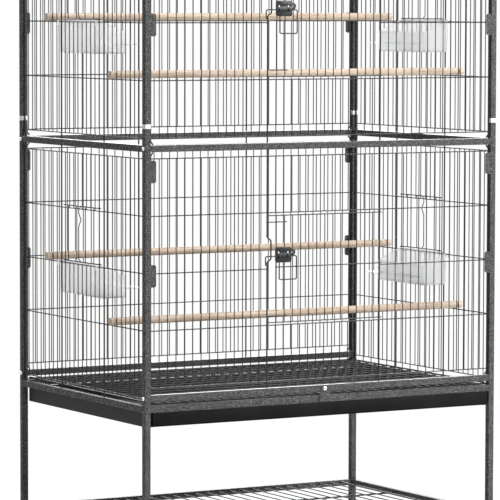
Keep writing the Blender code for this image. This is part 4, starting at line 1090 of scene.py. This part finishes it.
screw = moved(turned(profile, SCREW_SIDES, zinc), laid(pivot, "X"))
make_piece("lock_screw", [screw], "frame")

# Shelf and roof: four tubes between the posts, with wires front to back welded on
# and two cross wires under them. The shelf carries bags, the roof closes the cage.
GRILLE_SPACES = 28
GRILLE_CROSS = 2
GRILLE_WIRE = 0.0024
GRILLE_STRONG_WIRE = 0.0036
STRONG_SIDES = 12

for node, top_z in (("shelf", SHELF_TOP_Z), ("roof", TOP_Z)):
    half_x, half_y = INNER_WIDTH / 2 - TOUCH_GAP, INNER_DEPTH / 2 - TOUCH_GAP
    z = top_z - TUBE / 2
    meshes = [square_tube((-half_x, sy * POST_Y, z), (half_x, sy * POST_Y, z)) for sy in (-1, 1)]
    meshes += [square_tube((sx * POST_X, -half_y, z), (sx * POST_X, half_y, z)) for sx in (-1, 1)]
    strong_r, wire_r = GRILLE_STRONG_WIRE / 2, GRILLE_WIRE / 2
    wire_z = top_z - TUBE_CORNER - strong_r - TOUCH_GAP
    cross_z = wire_z - wire_r - TOUCH_GAP - strong_r
    reach_x, reach_y = (INNER_WIDTH + TUBE_WALL) / 2, (INNER_DEPTH + TUBE_WALL) / 2
    pitch = INNER_WIDTH / GRILLE_SPACES
    cross_pitch = INNER_DEPTH / (GRILLE_CROSS + 1)
    meshes += [
        rods(GRILLE_SPACES - 3, (-INNER_WIDTH / 2 + 2 * pitch, 0.0, wire_z), (pitch, 0.0, 0.0),
             2 * reach_y, wire_r, "Y"),
        rods(2, (-INNER_WIDTH / 2 + pitch, 0.0, wire_z), (INNER_WIDTH - 2 * pitch, 0.0, 0.0),
             2 * reach_y, strong_r, "Y", STRONG_SIDES),
        rods(GRILLE_CROSS, (0.0, -INNER_DEPTH / 2 + cross_pitch, cross_z), (0.0, cross_pitch, 0.0),
             2 * reach_x, strong_r, "X", STRONG_SIDES)]
    make_piece(node + "_grille", meshes, "frame", node, even=True)

# Casters: a zinc plated fork turns on a stem in each leg, over a ball race. The wheel
# is black rubber on a plastic hub and runs on a bolt with a nut.
WHEEL_RADIUS = 0.025
WHEEL_HALF = 0.009
CASTER_TRAIL = 0.020
FORK_WALL = 0.0016
FORK_SIDE_CLEAR = 0.0014
FORK_TOP_CLEAR = 0.004
FORK_WIDTH = 0.020
FORK_FOOT = 0.0085
FOOT_ARC = (205, 335, 12)
CHEEK_BACK_DROP = 0.006
CHEEK_FRONT_DROP = 0.004
CROWN_CORNER = 0.003
AXLE_RADIUS = 0.0030
AXLE_END = 0.0020
AXLE_CROWN = 0.0004
AXLE_SIDES = 20
NUT_RADIUS = 0.0052
NUT_THICK = 0.0024
HEAD_THICK = 0.0018
STEM_RADIUS = 0.0095
STEM_SIDES = 24
RACE_SIDES = 32
STEM_PROFILE = ((0.0, 0.0895), (0.0040, 0.0895), (0.0050, 0.0885), (0.0050, 0.0590), (0.0, 0.0590))
RACE_PROFILE = ((0.0, 0.0597), (0.0070, 0.0597), (0.0087, 0.0592), (0.0095, 0.0582), (0.0083, 0.0574),
                (0.0095, 0.0566), (0.0095, 0.0556), (0.0, 0.0556))
HUB_PROFILE = ((0.0034, 0.0), (0.0058, 0.0), (0.0064, 0.0006), (0.0070, 0.0040), (0.0142, 0.0034),
               (0.0150, 0.0018), (0.0160, 0.0016))
TYRE_RIM = ((0.0160, 0.0024), (0.0172, 0.0010))
TREAD_CROWN = 0.0022
TREAD_SHARE = 0.92
TREAD_STEPS = 8
TYRE_SIDES = 48
HUB_SIDES = 40

tyre_rubber, tree, shader, place = coat("black_tyre_rubber", (0.020, 0.020, 0.021), 0.55)
paint(tree, shader, noise(tree, place, 90.0, 4.0), ((0.3, (0.014, 0.014, 0.015)),
                                                    (0.7, (0.028, 0.028, 0.029))))
bump(tree, shader, noise(tree, place, 900.0), 0.2, 0.0002)
hub_plastic, tree, shader, place = coat("grey_hub_plastic", (0.10, 0.10, 0.105), 0.40)
paint(tree, shader, noise(tree, place, 70.0), ((0.3, (0.08, 0.08, 0.085)), (0.7, (0.12, 0.12, 0.125))))


def fork_meshes(x, y, trail):
    """Two cheeks under a crown, the ball race, the stem, the axle bolt and its nut."""
    cheek_in = WHEEL_HALF + FORK_SIDE_CLEAR
    reach = cheek_in + FORK_WALL
    crown = 2 * WHEEL_RADIUS + FORK_TOP_CLEAR
    back, front = -STEM_RADIUS, CASTER_TRAIL + FORK_WIDTH / 2
    outline = [(back, crown + FORK_WALL), (back, crown - CHEEK_BACK_DROP),
               *arc(FORK_FOOT, *FOOT_ARC, (CASTER_TRAIL, WHEEL_RADIUS)),
               (front, crown - CHEEK_FRONT_DROP), (front, crown + FORK_WALL)]
    outline = [(trail * a, z) for a, z in outline]
    for sign in (-1, 1):
        cheek = flat_plate([outline], FORK_WALL, zinc, FINE_EDGE)
        middle = x + sign * (cheek_in + FORK_WALL / 2)
        yield moved(cheek, frame_matrix((middle, y, 0), (0, 1, 0), (0, 0, 1)))
    crown_outline = rounded_rectangle(2 * reach, front - back, CROWN_CORNER)
    yield moved(flat_plate([crown_outline], FORK_WALL, zinc, PLATE_EDGE),
                Matrix.Translation((x, y + trail * (front + back) / 2, crown + FORK_WALL / 2)))
    for profile, sides in ((RACE_PROFILE, RACE_SIDES), (STEM_PROFILE, STEM_SIDES)):
        yield moved(turned(profile, sides, zinc), Matrix.Translation((x, y, 0.0)))
    side = laid((x, y + trail * CASTER_TRAIL, WHEEL_RADIUS))
    axle = [(0.0, reach), (AXLE_RADIUS, reach), (AXLE_RADIUS, -reach - AXLE_END),
            (0.0, -reach - AXLE_END - AXLE_CROWN)]
    yield moved(turned(axle, AXLE_SIDES, zinc), side)
    for sign, thick in ((1, NUT_THICK), (-1, HEAD_THICK)):
        nut = flat_plate([ring(NUT_RADIUS, 6)], thick, zinc, PLATE_EDGE)
        yield moved(nut, side @ Matrix.Translation((0, 0, sign * (reach + thick / 2))))


def wheel_meshes(x, y, trail):
    """A tyre with a round tread on a hub with a sunk web."""
    side = laid((x, y + trail * CASTER_TRAIL, WHEEL_RADIUS))
    tread = [(WHEEL_RADIUS - TREAD_CROWN + TREAD_CROWN * across ** 0.5,
              WHEEL_HALF * TREAD_SHARE * up)
             for across, up in arc(1.0, 90, -90, TREAD_STEPS)]
    rim = [(radius, WHEEL_HALF - depth) for radius, depth in TYRE_RIM]
    yield moved(turned(rim + tread + mirrored(rim), TYRE_SIDES, tyre_rubber, True), side)
    hub = [(radius, WHEEL_HALF - depth) for radius, depth in HUB_PROFILE]
    yield moved(turned(hub + mirrored(hub), HUB_SIDES, hub_plastic, True), side)


for label, sx, sy in CORNERS:
    stand_at = (sx * POST_X, sy * POST_Y, sy)
    make_piece("caster_frame_" + label, list(fork_meshes(*stand_at)), "caster_fork_" + label,
               "caster_fork_" + label)
    make_piece("rolling_wheel_" + label, list(wheel_meshes(*stand_at)), "caster_wheel_" + label,
               "caster_wheel_" + label)

# Studio: a pale floor that turns white away from the cage, a white surround, and soft
# lamps. A broad lamp stands in front on the right, so the left faces stay dark.
FLOOR_REACH = 30.0
FLOOR_SIDES = 96
FLOOR_FADE = (0.5, 3.0)
FLOOR_GLOW = 0.55
WORLD_LIGHT = 0.14
LAMP_AIM = Vector((0.0, 0.0, 0.75))


def seen_directly(tree):
    """One for the rays that come from the camera, a gloss or clear plastic."""
    rays = tree.nodes.new("ShaderNodeLightPath").outputs
    total = rays["Is Camera Ray"]
    for kind in ("Is Glossy Ray", "Is Transmission Ray"):
        total = build_node(tree, "ShaderNodeMath", {0: total, 1: rays[kind]},
                           operation="MAXIMUM")["Value"]
    return total


floor_finish, tree, shader, place = coat("pale_studio_floor", (0.82, 0.82, 0.82), 0.7)
paint(tree, shader, noise(tree, place, 3.0), ((0.3, 0.80), (0.7, 0.84)))
away = build_node(tree, "ShaderNodeVectorMath", {0: place}, operation="LENGTH")["Value"]
fade = build_node(tree, "ShaderNodeMapRange", {
    "Value": away, "From Min": FLOOR_FADE[0], "From Max": FLOOR_FADE[1], "To Min": FLOOR_GLOW,
    "To Max": 1.0})["Result"]
seen = build_node(tree, "ShaderNodeMath", {0: seen_directly(tree), 1: fade}, operation="MULTIPLY")
glow = build_node(tree, "ShaderNodeEmission", {"Strength": 1.0})
mix = build_node(tree, "ShaderNodeMixShader", {
    "Fac": seen["Value"], 1: shader.outputs["BSDF"], 2: glow["Emission"]})
tree.links.new(mix["Shader"], tree.nodes["Material Output"].inputs["Surface"])

ground = bmesh.new()
bmesh.ops.create_circle(ground, cap_ends=True, segments=FLOOR_SIDES, radius=FLOOR_REACH)
linked("studio_floor", mesh_of(ground, "studio_floor", floor_finish))

world = bpy.data.worlds.new("white_surround")
scene.world = world
world.use_nodes = True
tree = world.node_tree
tree.nodes.clear()
soft, white = (build_node(tree, "ShaderNodeBackground", {
    "Color": (1.0, 1.0, 1.0, 1.0), "Strength": strength})["Background"]
    for strength in (WORLD_LIGHT, 1.0))
chosen = build_node(tree, "ShaderNodeMixShader", {"Fac": seen_directly(tree), 1: soft, 2: white})
build_node(tree, "ShaderNodeOutputWorld", {"Surface": chosen["Shader"]})

for name, place, size, power in (("front_right_lamp", (2.0, -2.9, 2.0), 1.8, 150.0),
                                 ("overhead_lamp", (0.3, -0.4, 4.4), 2.0, 150.0),
                                 ("rear_left_lamp", (-1.3, 3.9, 2.2), 1.6, 40.0),
                                 ("rear_rim_lamp", (2.2, 3.8, 1.7), 2.0, 66.0)):
    lamp = bpy.data.lights.new(name, "AREA")
    lamp.shape = "DISK"
    lamp.size = size
    lamp.energy = power
    stand = linked(name, lamp)
    stand.visible_camera = False
    stand.visible_transmission = False
    stand.location = place
    stand.rotation_euler = (LAMP_AIM - Vector(place)).to_track_quat("-Z", "Y").to_euler()

scene.view_settings.view_transform = "Standard"
